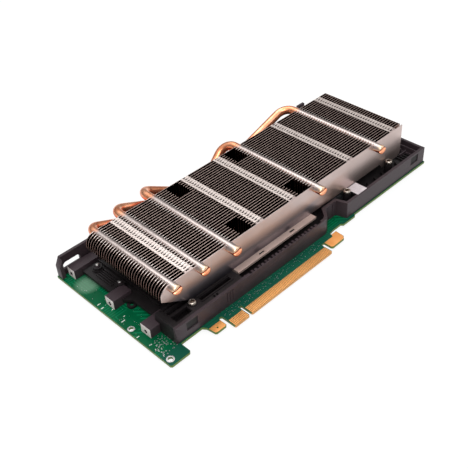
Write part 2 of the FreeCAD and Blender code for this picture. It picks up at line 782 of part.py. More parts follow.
def screw(name, x, y, seat, radius, shank_radius, down, up, height):
    """A screw standing on its seat; its head is up if height is positive and down if it is negative."""
    x, y, seat = as_dim(x), as_dim(y), as_dim(seat)
    if height > 0:
        head = post(f"{name}_head", x, y, seat, seat + height, radius)
        shank = post(f"{name}_shank", x, y, seat - down, seat + 0.2, shank_radius, 6)
    else:
        head = post(f"{name}_head", x, y, seat + height, seat, radius)
        shank = post(f"{name}_shank", x, y, seat - 0.2, seat + up, shank_radius, 6)
    return fuse(f"{name}_whole", [head, shank])


def fasteners():
    board_back = as_dim(head_height)
    bottom = [screw("frame_screw", along(u), across(v), board_back, 2.5, FRAME_SCREW_RADIUS, 0,
                    board_thick.number + 3.2, -head_height.number) for u, v in FRAME_SCREWS]
    keep(group("frame_screw_group", bottom), "frame_screws")
    top = [screw("top_screw", along(u), across(v), above(wall_height), 2.55, 1.25, 5.5, 0, 2.1)
           for u, v in TOP_SCREWS]
    keep(group("top_screw_group", top), "top_screws")
    main = []
    springs = []
    for u, v in heat_sink_screw_places():
        x, y = along(u), across(v)
        main.append(screw("heatsink_screw", x, y, above(SPRING_TOP), 3.2, 1.5, SPRING_TOP + 2.4, 0, 1.8))
        outer = post("spring_outer", x, y, above(SPRING_SEAT), above(SPRING_TOP), 2.8, 8)
        inner = post("spring_inner", x, y, above(SPRING_SEAT), above(SPRING_TOP), 2.1, 8)
        springs.append(cut("spring", outer, inner))
    keep(group("heatsink_screw_group", main), "heatsink_screws")
    keep(group("spring_group", springs), "screw_springs")
    posts = [post("post", along(u), across(v), above(floor_low + floor_thick), above(7.6), 1.5)
             for u, v in POST_PLACES]
    keep(group("post_group", posts), "standoff_posts")
    tips = [post("post_cap", along(u), across(v), above(7.6), above(8.5), 1.3) for u, v in POST_PLACES]
    keep(group("post_cap_group", tips), "post_caps")


def backing_plate():
    """Steel cross behind the processor that the heat sink's screws pull against."""
    body = new_body("backing_plate")
    thick = 1.0
    half_x, half_y = screw_reach_x + 5.0, screw_reach_y + 5.0
    waist = 12.0
    outline = [
        (-half_x, -half_y), (-half_x + 11.0, -half_y), (-waist, -waist - 6.0), (waist, -waist - 6.0),
        (half_x - 11.0, -half_y), (half_x, -half_y), (half_x, -half_y + 11.0), (waist + 6.0, -waist),
        (waist + 6.0, waist), (half_x, half_y - 11.0), (half_x, half_y), (half_x - 11.0, half_y),
        (waist, waist + 6.0), (-waist, waist + 6.0), (-half_x + 11.0, half_y), (-half_x, half_y),
        (-half_x, half_y - 11.0), (-waist - 6.0, waist), (-waist - 6.0, -waist), (-half_x, -half_y + 11.0),
    ]
    pad(body, [[(along(chip_x + u), across(chip_y + v)) for u, v in outline]],
        low=head_height - thick, length=thick)
    pocket(body, [ring(along(u), across(v), 1.5) for u, v in heat_sink_screw_places()],
           low=head_height - thick, length=thick)
    window = 8.0
    pocket(body, [rectangle(along(chip_x - window), along(chip_x + window),
                            across(chip_y - window), across(chip_y + window))],
           low=head_height - thick, length=thick)
    body.Tip = body.Group[-1]
    return keep(body, "backing_plate")


# ---------------------------------------------------------------- the whole card

circuit_board()
edge_contacts("front_contacts", above(0))
edge_contacts("back_contacts", head_height - contact_thick)
base_frame()
heatsink_base()
fin_stack()
for pipe in PIPES:
    heat_pipe(*pipe)
processor()
chip_group("memory_chips", MEMORY_PLACES, 5.5, 6.5, 0.0, CHIP_HEIGHT)
chip_group("thermal_pads", MEMORY_PLACES, 5.0, 6.0, CHIP_HEIGHT, floor_low.number)
chip_group("power_inductors", INDUCTOR_PLACES, 5.0, 5.0, 0.0, 7.0)
chip_group("power_chips", POWER_CHIP_PLACES, 3.0, 3.5, 0.0, 1.0)
can_group("power_capacitors", CAPACITOR_PLACES, 4.0, 0.0, 8.0)
power_connector("power_header_8", "header_pins_8", 86.8, 4)
power_connector("power_header_6", "header_pins_6", 69.0, 3)
backing_plate()
fasteners()
keep(box("blank_label", along(LABEL_PAD[0] + 0.1), along(LABEL_PAD[1] - 0.1), across(near_wall + 0.9),
         across(24.2), above(wall_height), above(wall_height + 0.15)), "blank_label")

DOC.recompute()

for obj in DOC.Objects:
    assert "Invalid" not in obj.State and "Error" not in obj.State, f"{obj.Label} failed: {obj.State}"
    if obj.TypeId == "PartDesign::Pocket":
        assert obj.Shape.Volume < obj.BaseFeature.Shape.Volume - 0.001, f"{obj.Label} cuts nothing"
os.makedirs("parts", exist_ok=True)
for node in NODES:
    assert not node.Shape.isNull() and node.Shape.isValid(), f"{node.Label} has a bad shape"
    node.Shape.exportStep(f"parts/{node.Label}.step")
print(f"wrote {len(NODES)} sub-parts")
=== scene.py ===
import math
import random

import bmesh
import bpy
from mathutils import Matrix, Quaternion, Vector


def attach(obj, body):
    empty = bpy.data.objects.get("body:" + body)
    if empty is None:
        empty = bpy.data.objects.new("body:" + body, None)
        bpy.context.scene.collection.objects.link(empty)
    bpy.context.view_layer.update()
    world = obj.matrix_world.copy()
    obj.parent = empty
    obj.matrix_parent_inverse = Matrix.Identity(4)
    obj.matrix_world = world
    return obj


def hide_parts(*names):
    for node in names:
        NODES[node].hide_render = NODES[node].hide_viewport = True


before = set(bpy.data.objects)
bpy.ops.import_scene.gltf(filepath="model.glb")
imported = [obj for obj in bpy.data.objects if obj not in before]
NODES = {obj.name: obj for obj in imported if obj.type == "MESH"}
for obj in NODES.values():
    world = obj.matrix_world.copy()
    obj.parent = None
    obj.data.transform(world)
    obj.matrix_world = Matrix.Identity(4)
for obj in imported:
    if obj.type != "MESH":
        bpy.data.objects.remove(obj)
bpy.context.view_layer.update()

# Places are given as in the card's own drawing, in millimetres: u along the card from its bracket end,
# v across it from the contact tips, w up from the board's component face.
BOARD_LENGTH = 247.65
BOARD_DEPTH = 111.15
BOARD_BACK = -1.57
FIN_PITCH = 2.11
FIN_THICK = 0.4
FIN_FIRST = 24.6
FIN_TOP = 33.0
PIPE_AXIS = 30.2
PIPE_RADIUS = 3.0
PIPE_LOW = 8.8
PIPE_INNER_END = 32.0
# the length of a pipe's pinched end
PINCH = 3.0
CHIP = (106.5, 58.5)
# how far from the chip's centre the heat sink's four screws are
SINK_REACH = (25.4, 26.4)
# each heat pipe's place along the card, its tip, how far out it turns back, and its place in the base
PIPES = {
    "a": (22.6, 19.8, 99.9, 73.5), "b": (43.2, 19.4, 101.8, 94.5), "c": (66.4, 17.9, 103.6, 106.5),
    "d": (141.8, 18.3, 101.8, 115.5), "e": (202.2, 18.3, 102.0, 124.5),
}
# how far out each pipe's upper bend stands, and the radius of its bends
BENDS = {"a": (100.4, 6.5), "b": (104.2, 8.0), "c": (107.0, 8.5), "d": (105.6, 8.5), "e": (105.2, 8.5)}
# the top of the frame's floor, from which its ribs stand
TRAY = 4.1
TAB_ROWS = (35.7, 92.2, 120.8, 176.2, 222.2)


def at(u, v, w):
    """A drawing place as a point in metres in the row frame."""
    return Vector(((u - BOARD_LENGTH / 2) / 1000, (v - BOARD_DEPTH / 2) / 1000, (w + 3.17) / 1000))


# ---------------------------------------------------------------- meshes


def linked(name, data):
    """A new object on the data, in the scene."""
    made = bpy.data.objects.new(name, data)
    bpy.context.scene.collection.objects.link(made)
    return made


def arc(across, up, radius, start, turn, steps):
    """Places along an arc that turns from the start angle, in radians from the first axis to the second."""
    angles = [start + turn * i / steps for i in range(steps + 1)]
    return [(across + radius * math.cos(a), up + radius * math.sin(a)) for a in angles]


def tube_faces(rows, sides, closed=False):
    """The faces between rings of places, with flat ends unless the last ring joins the first."""
    faces = []
    for j in range(rows if closed else rows - 1):
        for i in range(sides):
            k, m = (i + 1) % sides, (j + 1) % rows
            faces.append((j * sides + i, j * sides + k, m * sides + k, m * sides + i))
    if not closed:
        faces += [tuple(range(sides - 1, -1, -1)), tuple((rows - 1) * sides + i for i in range(sides))]
    return faces


class Shape:
    """Collects the faces of one piece in drawing places."""

    def __init__(self):
        self.places = []
        self.faces = []
        self.kinds = []
        self.kind = 0

    def put(self, places, faces):
        start = len(self.places)
        self.places += places
        self.faces += [tuple(start + i for i in face) for face in faces]
        self.kinds += [self.kind] * len(faces)

    def prism(self, outline, axis, low, high):
        """A prism on an outline: (v, w) along u, (u, w) along v, or (u, v) along w."""
        count = len(outline)
        if axis == "u":
            places = [(level, a, b) for level in (low, high) for a, b in outline]
        elif axis == "v":
            places = [(a, level, b) for level in (low, high) for a, b in outline]
        else:
            places = [(a, b, level) for level in (low, high) for a, b in outline]
        faces = [tuple(range(count - 1, -1, -1)), tuple(range(count, 2 * count))]
        faces += [(i, (i + 1) % count, count + (i + 1) % count, count + i) for i in range(count)]
        self.put(places, faces)

    def box(self, u0, u1, v0, v1, w0, w1):
        self.prism([(u0, v0), (u1, v0), (u1, v1), (u0, v1)], "w", w0, w1)

    def boxes(self, count, step, u0, u1, v0, v1, w0, w1):
        """A row of equal boxes from the first one's bounds, each a step (u, v) further on."""
        for i in range(count):
            along, across = step[0] * i, step[1] * i
            self.box(u0 + along, u1 + along, v0 + across, v1 + across, w0, w1)

    def turned(self, u, v, profile, sides=24, closed=False):
        """A turned part standing on the w axis; its profile is (radius, w) pairs from one end to the other."""
        places = []
        for radius, w in profile:
            for i in range(sides):
                angle = 2 * math.pi * i / sides
                places.append((u + radius * math.cos(angle), v + radius * math.sin(angle), w))
        self.put(places, tube_faces(len(profile), sides, closed))

    def ring(self, u, v, inner, outer, w0, w1, sides=24):
        """A flat ring standing on w0."""
        self.turned(u, v, [(inner, w0), (outer, w0), (outer, w1), (inner, w1)], sides, closed=True)

    def object(self, name, materials, smooth=35.0, bevel=0.0, local=False):
        """The finished mesh object, its normals out and its round faces smooth."""
        mesh = bpy.data.meshes.new(name)
        places = [Vector(p) / 1000 if local else at(*p) for p in self.places]
        mesh.from_pydata(places, [], self.faces)
        for m in materials:
            mesh.materials.append(m)
        mesh.polygons.foreach_set("material_index", self.kinds)
        settle(mesh, smooth, bevel)
        return linked(name, mesh)


def settle(mesh, smooth=35.0, bevel=0.0, merge=False):
    """Turn normals outwards, round the sharp edges by bevel millimetres and smooth the round faces."""
    bm = bmesh.new()
    bm.from_mesh(mesh)
    if merge:
        bmesh.ops.remove_doubles(bm, verts=bm.verts, dist=2e-6)
        bmesh.ops.dissolve_limit(bm, angle_limit=math.radians(0.5), verts=bm.verts, edges=bm.edges)
    bmesh.ops.recalc_face_normals(bm, faces=bm.faces)
    limit = math.radians(smooth)
    for face in bm.faces:
        turns = [edge.calc_face_angle(0.0) for edge in face.edges]
        face.smooth = any(0.01 < turn < limit for turn in turns)
    if bevel:
        sharp = [e for e in bm.edges if e.calc_face_angle(0.0) > limit and e.calc_length() > 3e-4]
        rounded = bmesh.ops.bevel(bm, geom=sharp, offset=bevel / 1000, segments=2, profile=0.6,
                                  affect="EDGES", clamp_overlap=True)
        for face in rounded["faces"]:
            face.smooth = True
    bm.to_mesh(mesh)
    bm.free()
    mesh.update()


def plain_copy(made, name):
    """The object's evaluated shape as a plain mesh with no modifiers; the object itself is dropped."""
    graph = bpy.context.evaluated_depsgraph_get()
    mesh = bpy.data.meshes.new_from_object(made.evaluated_get(graph), preserve_all_data_layers=True,
                                           depsgraph=graph)
    mesh.name = name
    result = linked(name, mesh)
    bpy.data.objects.remove(made)
    return result


def carved(body, tool, name):
    """The body with the tool's shape cut out of it; both are dropped."""
    cutter = body.modifiers.new("carving", "BOOLEAN")
    cutter.operation = "DIFFERENCE"
    cutter.object = tool
    made = plain_copy(body, name)
    bpy.data.objects.remove(tool)
    return made


def own(piece, slot, *nodes):
    """Hang a finished piece on the card's root: it rides on the card and stands for its nodes, which are hidden.
    """
    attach(piece, "root")
    if nodes:
        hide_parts(*nodes)
    return piece


def gathered(meshes, into):
    """Put several meshes together in one of them."""
    bm = bmesh.new()
    for mesh in meshes:
        bm.from_mesh(mesh)
    bm.to_mesh(into)
    bm.free()


def softened(node, material, slot, bevel, extra=None, kinds=(), holes=None):
    """A node's own shape with rounded edges, finer holes cut in it and more of the same piece joined to it."""
    mesh = NODES[node].data.copy()
    mesh.materials.clear()
    for each in (material, *kinds):
        mesh.materials.append(each)
    mesh.polygons.foreach_set("material_index", [0] * len(mesh.polygons))
    piece = linked(f"{node}_shaped", mesh)
    if holes is not None:
        piece = carved(piece, holes.object("holes", [material]), f"{node}_carved")
    mesh = piece.data
    settle(mesh, 40.0, bevel, merge=True)
    if extra is not None:
        addition = extra.object("addition", [material, *kinds])
        gathered((mesh, addition.data), mesh)
        bpy.data.objects.remove(addition)
    return own(piece, slot, node)


# ---------------------------------------------------------------- repeats


def socket_id(tree, name):
    """The identifier of a tree's named input."""
    return next(item.identifier for item in tree.interface.items_tree
                if item.item_type == "SOCKET" and item.in_out == "INPUT" and item.name == name)


def new_tree(name, **sockets):
    """A tree with one result and the given inputs, and those inputs by name."""
    tree = bpy.data.node_groups.new(name, "GeometryNodeTree")
    tree.interface.new_socket("Result", in_out="OUTPUT", socket_type="NodeSocketGeometry")
    for label, kind in sockets.items():
        tree.interface.new_socket(label.replace("_", " "), in_out="INPUT", socket_type=f"NodeSocket{kind}")
    return tree, add(tree, "NodeGroupInput").outputs


def made_real(tree, given, geometry):
    """End a tree: its copies become real geometry and get their finish."""
    real = add(tree, "GeometryNodeRealizeInstances", {"Geometry": geometry})
    finished = add(tree, "GeometryNodeSetMaterial", {"Geometry": real, "Material": given["Finish"]})
    add(tree, "NodeGroupOutput", {"Result": finished})
    return tree


def repeat_tree():
    """Copies of a template standing in a straight line."""
    tree, given = new_tree("straight_row", Template="Object", Count="Int", Pitch="Vector", Finish="Material")
    line = add(tree, "GeometryNodeMeshLine", {"Count": given["Count"], "Offset": given["Pitch"]})
    shape = add(tree, "GeometryNodeObjectInfo", {"Object": given["Template"]})
    placed = add(tree, "GeometryNodeInstanceOnPoints", {"Points": line, "Instance": shape.outputs["Geometry"]})
    return made_real(tree, given, placed)


def scatter_tree():
    """Copies of a template at given places, each with its own turn and size."""
    tree, given = new_tree("placed_copies", Places="Geometry", Template="Object", Finish="Material")
    turn = add(tree, "GeometryNodeInputNamedAttribute", {"Name": "turn"}, data_type="FLOAT_VECTOR")
    size = add(tree, "GeometryNodeInputNamedAttribute", {"Name": "size"}, data_type="FLOAT_VECTOR")
    shape = add(tree, "GeometryNodeObjectInfo", {"Object": given["Template"]})
    placed = add(tree, "GeometryNodeInstanceOnPoints",
                 {"Points": given["Places"], "Instance": shape.outputs["Geometry"],
                  "Rotation": turn, "Scale": size})
    return made_real(tree, given, placed)


def coil_tree():
    """A coil spring from a spiral and a round wire."""
    tree, given = new_tree("coil_spring", Turns="Float", Coil_radius="Float", Height="Float",
                           Wire_radius="Float", Finish="Material")
    spiral = add(tree, "GeometryNodeCurveSpiral",
                 {"Resolution": 18, "Rotations": given["Turns"], "Height": given["Height"],
                  "Start Radius": given["Coil radius"], "End Radius": given["Coil radius"]})
    wire = add(tree, "GeometryNodeCurvePrimitiveCircle", {"Resolution": 8, "Radius": given["Wire radius"]})
    swept = add(tree, "GeometryNodeCurveToMesh", {"Curve": spiral, "Profile Curve": wire, "Fill Caps": True})
    return made_real(tree, given, swept)


def grow(base, name, tree, **inputs):
    """Run a tree on an object and keep the plain mesh that it makes."""
    modifier = base.modifiers.new(tree.name, "NODES")
    modifier.node_group = tree
    for label, value in inputs.items():
        modifier[socket_id(tree, label.replace("_", " "))] = value
    made = plain_copy(base, name)
    settle(made.data)
    return made


def empty_mesh(name, points=(), turns=(), sizes=()):
    """Bare points, each with the turn and size of the copy that goes there."""
    mesh = bpy.data.meshes.new(name)
    mesh.from_pydata(list(points), [], [])
    if points:
        for label, values in (("turn", turns), ("size", sizes)):
            data = mesh.attributes.new(label, "FLOAT_VECTOR", "POINT")
            data.data.foreach_set("vector", [c for value in values for c in value])
    return linked(name, mesh)


def in_row(name, template, count, pitch):
    """A straight row of one template, which is then dropped."""
    made = grow(empty_mesh(name), name, REPEAT, Template=template, Count=count,
                Pitch=[c / 1000 for c in pitch], Finish=template.data.materials[0])
    bpy.data.objects.remove(template)
    return made


def scattered(name, template, places, slot, *nodes):
    """A finished piece: one template at many places (u, v, w, turn in degrees, size); the template is dropped."""
    points = [at(*p[:3]) for p in places]
    turns = [(0.0, 0.0, math.radians(p[3])) for p in places]
    sizes = [(p[4],) * 3 for p in places]
    made = grow(empty_mesh(name, points, turns, sizes), name, SCATTER, Template=template,
                Finish=template.data.materials[0])
    bpy.data.objects.remove(template)
    return own(made, slot, *nodes)


# ---------------------------------------------------------------- materials


def colour(code):
    """Linear colour of an sRGB hex value."""
    parts = [int(code[i:i + 2], 16) / 255 for i in (1, 3, 5)]
    return (*(p / 12.92 if p <= 0.04045 else ((p + 0.055) / 1.055) ** 2.4 for p in parts), 1.0)


def add(tree, kind, inputs=None, stops=(), **settings):
    """Add a node with its settings, links and constants; a node given as an input means its first output
    in use, and a hex value is a colour."""
    made = tree.nodes.new(kind)
    for name, value in settings.items():
        setattr(made, name, value)
    for name, value in (inputs or {}).items():
        if isinstance(value, bpy.types.Node):
            value = next(output for output in value.outputs if output.enabled)
        if isinstance(value, bpy.types.NodeSocket):
            tree.links.new(value, made.inputs[name])
        else:
            written = isinstance(value, str) and value.startswith("#")
            made.inputs[name].default_value = colour(value) if written else value
    for i, (place, code) in enumerate(stops):
        ramp = made.color_ramp.elements
        element = ramp[i] if i < len(ramp) else ramp.new(place)
        element.position = place
        element.color = colour(code)
    return made


def noise(tree, place, scale, detail):
    """Soft noise in patches about 1 / scale across."""
    return add(tree, "ShaderNodeTexNoise", {"Vector": place, "Scale": scale, "Detail": detail})


def calc(tree, operation, *values):
    """One operation on one to three values."""
    return add(tree, "ShaderNodeMath", dict(enumerate(values)), operation=operation)


def ranged(tree, value, source=(0.0, 1.0), result=(0.0, 1.0)):
    """A value carried from one range to another, and held at its ends."""
    return add(tree, "ShaderNodeMapRange",
               {"Value": value, "From Min": source[0], "From Max": source[1],
                "To Min": result[0], "To Max": result[1]})


def blend(tree, share, first, second):
    """The first colour where the share is 0, the second where it is 1."""
    return add(tree, "ShaderNodeMix", {0: share, 6: first, 7: second}, data_type="RGBA")


def xyz(tree, vector):
    """A vector's parts, by the names X, Y and Z."""
    return add(tree, "ShaderNodeSeparateXYZ", {0: vector}).outputs


def empty_tree(owner):
    """The owner's own node tree, with nothing in it."""
    owner.use_nodes = True
    owner.node_tree.nodes.clear()
    return owner.node_tree


def new_material(name):
    """A material, its tree, and Object coordinates counted in millimetres."""
    made = bpy.data.materials.new(name)
    tree = empty_tree(made)
    place = add(tree, "ShaderNodeTexCoord")
    scaled = add(tree, "ShaderNodeVectorMath", {0: place.outputs["Object"], "Scale": 1000.0}, operation="SCALE")
    return made, tree, scaled.outputs["Vector"]


def dressed(made, shade, rough, finish, marks=None, strength=0.0, depth=0.0):
    """End a material: its colour, roughness, finish and fine relief make one surface."""
    tree = made.node_tree
    inputs = {"Base Color": shade, "Roughness": rough, **finish}
    if marks is not None:
        relief = add(tree, "ShaderNodeBump", {"Height": marks, "Strength": strength, "Distance": depth})
        inputs["Normal"] = relief
    shader = add(tree, "ShaderNodeBsdfPrincipled", inputs)
    add(tree, "ShaderNodeOutputMaterial", {"Surface": shader})
    return made


def solder_mask():
    """Glass-fibre laminate under glossy green solder mask: copper below it shows as lighter lines and fields."""
    made, tree, mm = new_material("green_solder_mask_laminate")
    # fields of copper, about 14 mm across, and tracks 1.7 to 2.8 mm apart in three directions: real tracks
    # are about 0.3 mm apart, too fine to show, and are drawn coarser
    fields = add(tree, "ShaderNodeTexVoronoi", {"Vector": mm, "Scale": 0.07}, distance="CHEBYCHEV")
    pick = add(tree, "ShaderNodeSeparateColor", {0: fields.outputs["Color"]})
    along, across, slanted = (
        add(tree, "ShaderNodeTexWave", {"Vector": mm, "Scale": scale}, bands_direction=way).outputs["Fac"]
        for way, scale in (("X", 0.18), ("Y", 0.18), ("DIAGONAL", 0.16)))
    first = calc(tree, "GREATER_THAN", pick.outputs["Red"], 0.42)
    second = calc(tree, "GREATER_THAN", pick.outputs["Red"], 0.68)
    some = add(tree, "ShaderNodeMix", {0: first, 2: along, 3: across})
    tracks = add(tree, "ShaderNodeMix", {0: second, 2: some, 3: slanted})
    copper = ranged(tree, tracks, (0.62, 0.78))
    busy = calc(tree, "GREATER_THAN", pick.outputs["Green"], 0.45)
    shown = calc(tree, "MULTIPLY", copper, busy)
    mottle = noise(tree, mm, 0.12, 3.0)
    ground = blend(tree, mottle, "#00472a", "#00603b")
    green = blend(tree, shown, ground, "#0c7049")
    # the mask looks bluer and darker along the contacts, and pale over a bare field beside the first boss
    place = xyz(tree, mm)
    # painted shade: the strip in front of the near wall is drawn bluer and darker
    low = ranged(tree, place["Y"], (-39.0, -43.0), (0.0, 0.7))
    painted_shade_green = blend(tree, low, green, "#17463d")
    apart = add(tree, "ShaderNodeVectorMath", {0: mm, 1: tuple(at(8.0, 91.0, 0.0) * 1000)}, operation="DISTANCE")
    pale = ranged(tree, apart.outputs["Value"], (4.5, 9.0), (0.6, 0.0))
    green = blend(tree, pale, painted_shade_green, "#779a82")
    # cut edges show the bare laminate, yellow-green, and tan where the tongue is bevelled
    normal = add(tree, "ShaderNodeNewGeometry")
    facing = xyz(tree, normal.outputs["True Normal"])
    upright = calc(tree, "ABSOLUTE", facing["Z"])
    cut = calc(tree, "LESS_THAN", upright, 0.5)
    # bundles of glass fibre, 0.7 mm across
    fibre = noise(tree, mm, 1.5, 2.0)
    bare = blend(tree, fibre, "#3c5a2a", "#77894a")
    tan = blend(tree, fibre, "#b07c45", "#d2a067")
    bevel = calc(tree, "LESS_THAN", place["Y"], -54.9)
    edge = blend(tree, bevel, bare, tan)
    shade = blend(tree, cut, green, edge)
    rough = ranged(tree, mottle, result=(0.22, 0.36))
    return dressed(made, shade, rough, {"IOR": 1.45, "Specular IOR Level": 0.1}, shown, 0.35, 0.00004)


def gold_plate():
    """Hard gold plated over copper: smooth, warm, with fine rubbing marks from the slot's springs."""
    made, tree, mm = new_material("hard_gold_plating")
    # rubbing marks run towards the tips, 0.2 mm apart
    drawn = add(tree, "ShaderNodeVectorMath", {0: mm, 1: (1.0, 0.05, 1.0)}, operation="MULTIPLY")
    marks = noise(tree, drawn, 5.0, 3.0)
    cloud = noise(tree, mm, 0.25, 2.0)
    shade = blend(tree, cloud, "#ec9c50", "#fdba74")
    rough = ranged(tree, marks, result=(0.25, 0.45))
    return dressed(made, shade, rough, {"Metallic": 0.7}, marks, 0.2, 0.00002)


def black_casting(name, low, high, rough_low, rough_high):
    """Die-cast aluminium with a thin satin black coat: soft sheen, fine orange peel, faint handling marks."""
    made, tree, mm = new_material(name)
    # orange peel about 0.5 mm across, and clouds of handling about 12 mm across
    peel = noise(tree, mm, 2.0, 3.0)
    cloud = noise(tree, mm, 0.08, 4.0)
    shade = blend(tree, cloud, low, high)
    worn = calc(tree, "MULTIPLY", peel, cloud)
    rough = ranged(tree, worn, (0.0, 0.5), (rough_low, rough_high))
    return dressed(made, shade, rough, {"IOR": 1.45, "Specular IOR Level": 0.35}, peel, 0.25, 0.00006)


def machined_face():
    """Bare die-cast aluminium, face milled: pale, with fine cutter arcs 0.5 mm apart."""
    made, tree, mm = new_material("milled_bare_aluminium")
    arcs = add(tree, "ShaderNodeTexWave", {"Vector": mm, "Scale": 0.6, "Distortion": 1.5, "Detail": 1.0},
               wave_type="RINGS", rings_direction="X")
    cloud = noise(tree, mm, 0.6, 3.0)
    shade = blend(tree, cloud, "#c9bfbc", "#e6dedb")
    rough = ranged(tree, arcs.outputs["Fac"], result=(0.3, 0.5))
    return dressed(made, shade, rough, {"Metallic": 0.15}, arcs.outputs["Fac"], 0.15, 0.00003)


def fin_sheet():
    """Nickel-plated stamped sheet: mirror-smooth faces, duller cut edges, bright joining tabs, painted light and
    shade.
    """
    made, tree, mm = new_material("nickel_plated_fin_sheet")
    # the plating is clouded in patches about 3 mm across
    cloud = noise(tree, mm, 0.35, 3.0)
    normal = add(tree, "ShaderNodeNewGeometry")
    facing = xyz(tree, normal.outputs["True Normal"])
    side = calc(tree, "ABSOLUTE", facing["Y"])
    edge = ranged(tree, side, (0.4, 0.6), (1.0, 0.0))
    # the rows of tabs, and the solder beside each pipe, are brighter than the other edges
    where = xyz(tree, mm)
    tinned = 0.0
    for place, reach in [(row, 3.1) for row in TAB_ROWS] + [(pipe[0] - 0.8, 3.9) for pipe in PIPES.values()]:
        near = calc(tree, "COMPARE", where["X"], at(place, 0, 0).x * 1000, reach)
        tinned = calc(tree, "MAXIMUM", near, tinned)
    # painted shade on the faces between the fins, and painted light on up-facing cut edges over sideways ones
    face = blend(tree, cloud, "#5e443c", "#7e6358")
    painted_lit_edge = blend(tree, cloud, "#a08a82", "#c2ada5")
    front = blend(tree, cloud, "#70544c", "#8f7169")
    painted_light_share = ranged(tree, facing["Z"], (0.3, 0.95))
    cut = blend(tree, painted_light_share, front, painted_lit_edge)
    tab = blend(tree, cloud, "#dccbc4", "#fbf0ea")
    top = blend(tree, tinned, cut, tab)
    shade = blend(tree, edge, face, top)
    rough = ranged(tree, edge, result=(0.08, 0.4))
    return dressed(made, shade, rough, {"Metallic": 1.0})


def bright_sheet(name, low, high, rough_low, rough_high, metallic=1.0, painted_reflection_band=None):
    """Nickel-plated rolled sheet with faint rolling marks along the card; painted reflection and shade low down.
    """
    made, tree, mm = new_material(name)
    # rolling marks are about 0.4 mm apart and tens of millimetres long
    rolled = add(tree, "ShaderNodeVectorMath", {0: mm, 1: (0.02, 1.0, 1.0)}, operation="MULTIPLY")
    marks = noise(tree, rolled, 2.5, 4.0)
    cloud = noise(tree, mm, 0.06, 3.0)
    shade = blend(tree, cloud, low, high)
    if painted_reflection_band:
        # painted reflection and shade: from low down the colour runs dark blue-grey, orange, then the sheet's own
        where = xyz(tree, mm)
        wavy = calc(tree, "MULTIPLY_ADD", cloud, 3.0, where["Z"])
        depth = ranged(tree, wavy, painted_reflection_band)
        # the painted reflection fades out at the far end of the card
        cool = ranged(tree, where["X"], (-10.0, 60.0))
        clear = calc(tree, "MAXIMUM", depth, cool)
        tint = add(tree, "ShaderNodeValToRGB", {0: clear},
                   stops=((0.0, "#57525a"), (0.33, "#77757f"), (0.55, "#b5876f"), (0.75, "#c9a18b"), (1.0, high)))
        shade = blend(tree, clear, tint, shade)
    rough = ranged(tree, marks, (0.3, 0.7), (rough_low, rough_high))
    return dressed(made, shade, rough, {"Metallic": metallic}, marks, 0.04, 0.00002)


def pipe_copper():
    """Drawn copper tube, tinned where it is soldered between the fins, with painted light on top and painted
    shade below.
    """
    made, tree, mm = new_material("drawn_copper_tinned_in_the_fins")
    where = xyz(tree, mm)
    flow = noise(tree, mm, 0.35, 3.0)
    # solder reaches from just behind the tip to the far plate, with a ragged line
    tip = add(tree, "ShaderNodeAttribute", attribute_name="from_tip")
    ragged = calc(tree, "MULTIPLY_ADD", flow, 4.0, -2.0)
    moved = calc(tree, "ADD", where["Y"], ragged)
    near = ranged(tree, tip.outputs["Fac"], (1.6, 2.6))
    warm = ranged(tree, tip.outputs["Fac"], (3.5, 7.0), (1.0, 0.0))
    far = ranged(tree, moved, (34.0, 38.5), (1.0, 0.0))
    high = ranged(tree, where["Z"], (29.0, 30.0))
    both = calc(tree, "MULTIPLY", near, far)
    tinned = calc(tree, "MULTIPLY", both, high)
    tint = noise(tree, mm, 0.12, 3.0)
    # painted light and shade: bright on top and on the sealed tips, deep red below
    normal = add(tree, "ShaderNodeNewGeometry")
    facing = xyz(tree, normal.outputs["Normal"])
    end = calc(tree, "MULTIPLY_ADD", facing["Y"], -0.5, facing["Z"])
    lit = ranged(tree, end, (-0.35, 0.5))
    painted_shade_copper = add(tree, "ShaderNodeValToRGB", {0: tint}, stops=((0.3, "#b03a12"), (0.7, "#e2652c")))
    painted_lit_copper = add(tree, "ShaderNodeValToRGB", {0: tint}, stops=((0.3, "#e68a5e"), (0.7, "#f8b791")))
    bare = blend(tree, lit, painted_shade_copper, painted_lit_copper)
    # painted shade: the crease and the underside of the tip are drawn dark red
    crease = calc(tree, "COMPARE", tip.outputs["Fac"], -0.6, 1.4)
    copper = blend(tree, crease, bare, "#6e2010")
    grey = blend(tree, flow, "#9d908c", "#d0c4c0")
    tin = blend(tree, warm, grey, "#ecc9a8")
    shade = blend(tree, tinned, copper, tin)
    # the drawn surface is a little uneven, in patches about 3 mm across
    rough = ranged(tree, flow, result=(0.22, 0.38))
    return dressed(made, shade, rough, {"Metallic": 0.88}, flow, 0.12, 0.0001)


def speckled(name, low, high, grain, rough_low, rough_high, metallic=0.0, bump=0.2):
    """A moulded, sintered or plated finish: two close shades in grains of a given size in millimetres."""
    made, tree, mm = new_material(name)
    grains = noise(tree, mm, 1.0 / grain, 4.0)
    cloud = noise(tree, mm, 0.1 / grain, 2.0)
    both = calc(tree, "ADD", grains, cloud)
    share = ranged(tree, both, (0.7, 1.3))
    shade = blend(tree, share, low, high)
    rough = ranged(tree, grains, (0.3, 0.7), (rough_low, rough_high))
    return dressed(made, shade, rough, {"Metallic": metallic}, grains, bump, 0.00005)


LAMINATE = solder_mask()
GOLD = gold_plate()
CASTING = black_casting("satin_black_coated_casting", "#2c2226", "#40353a", 0.36, 0.52)
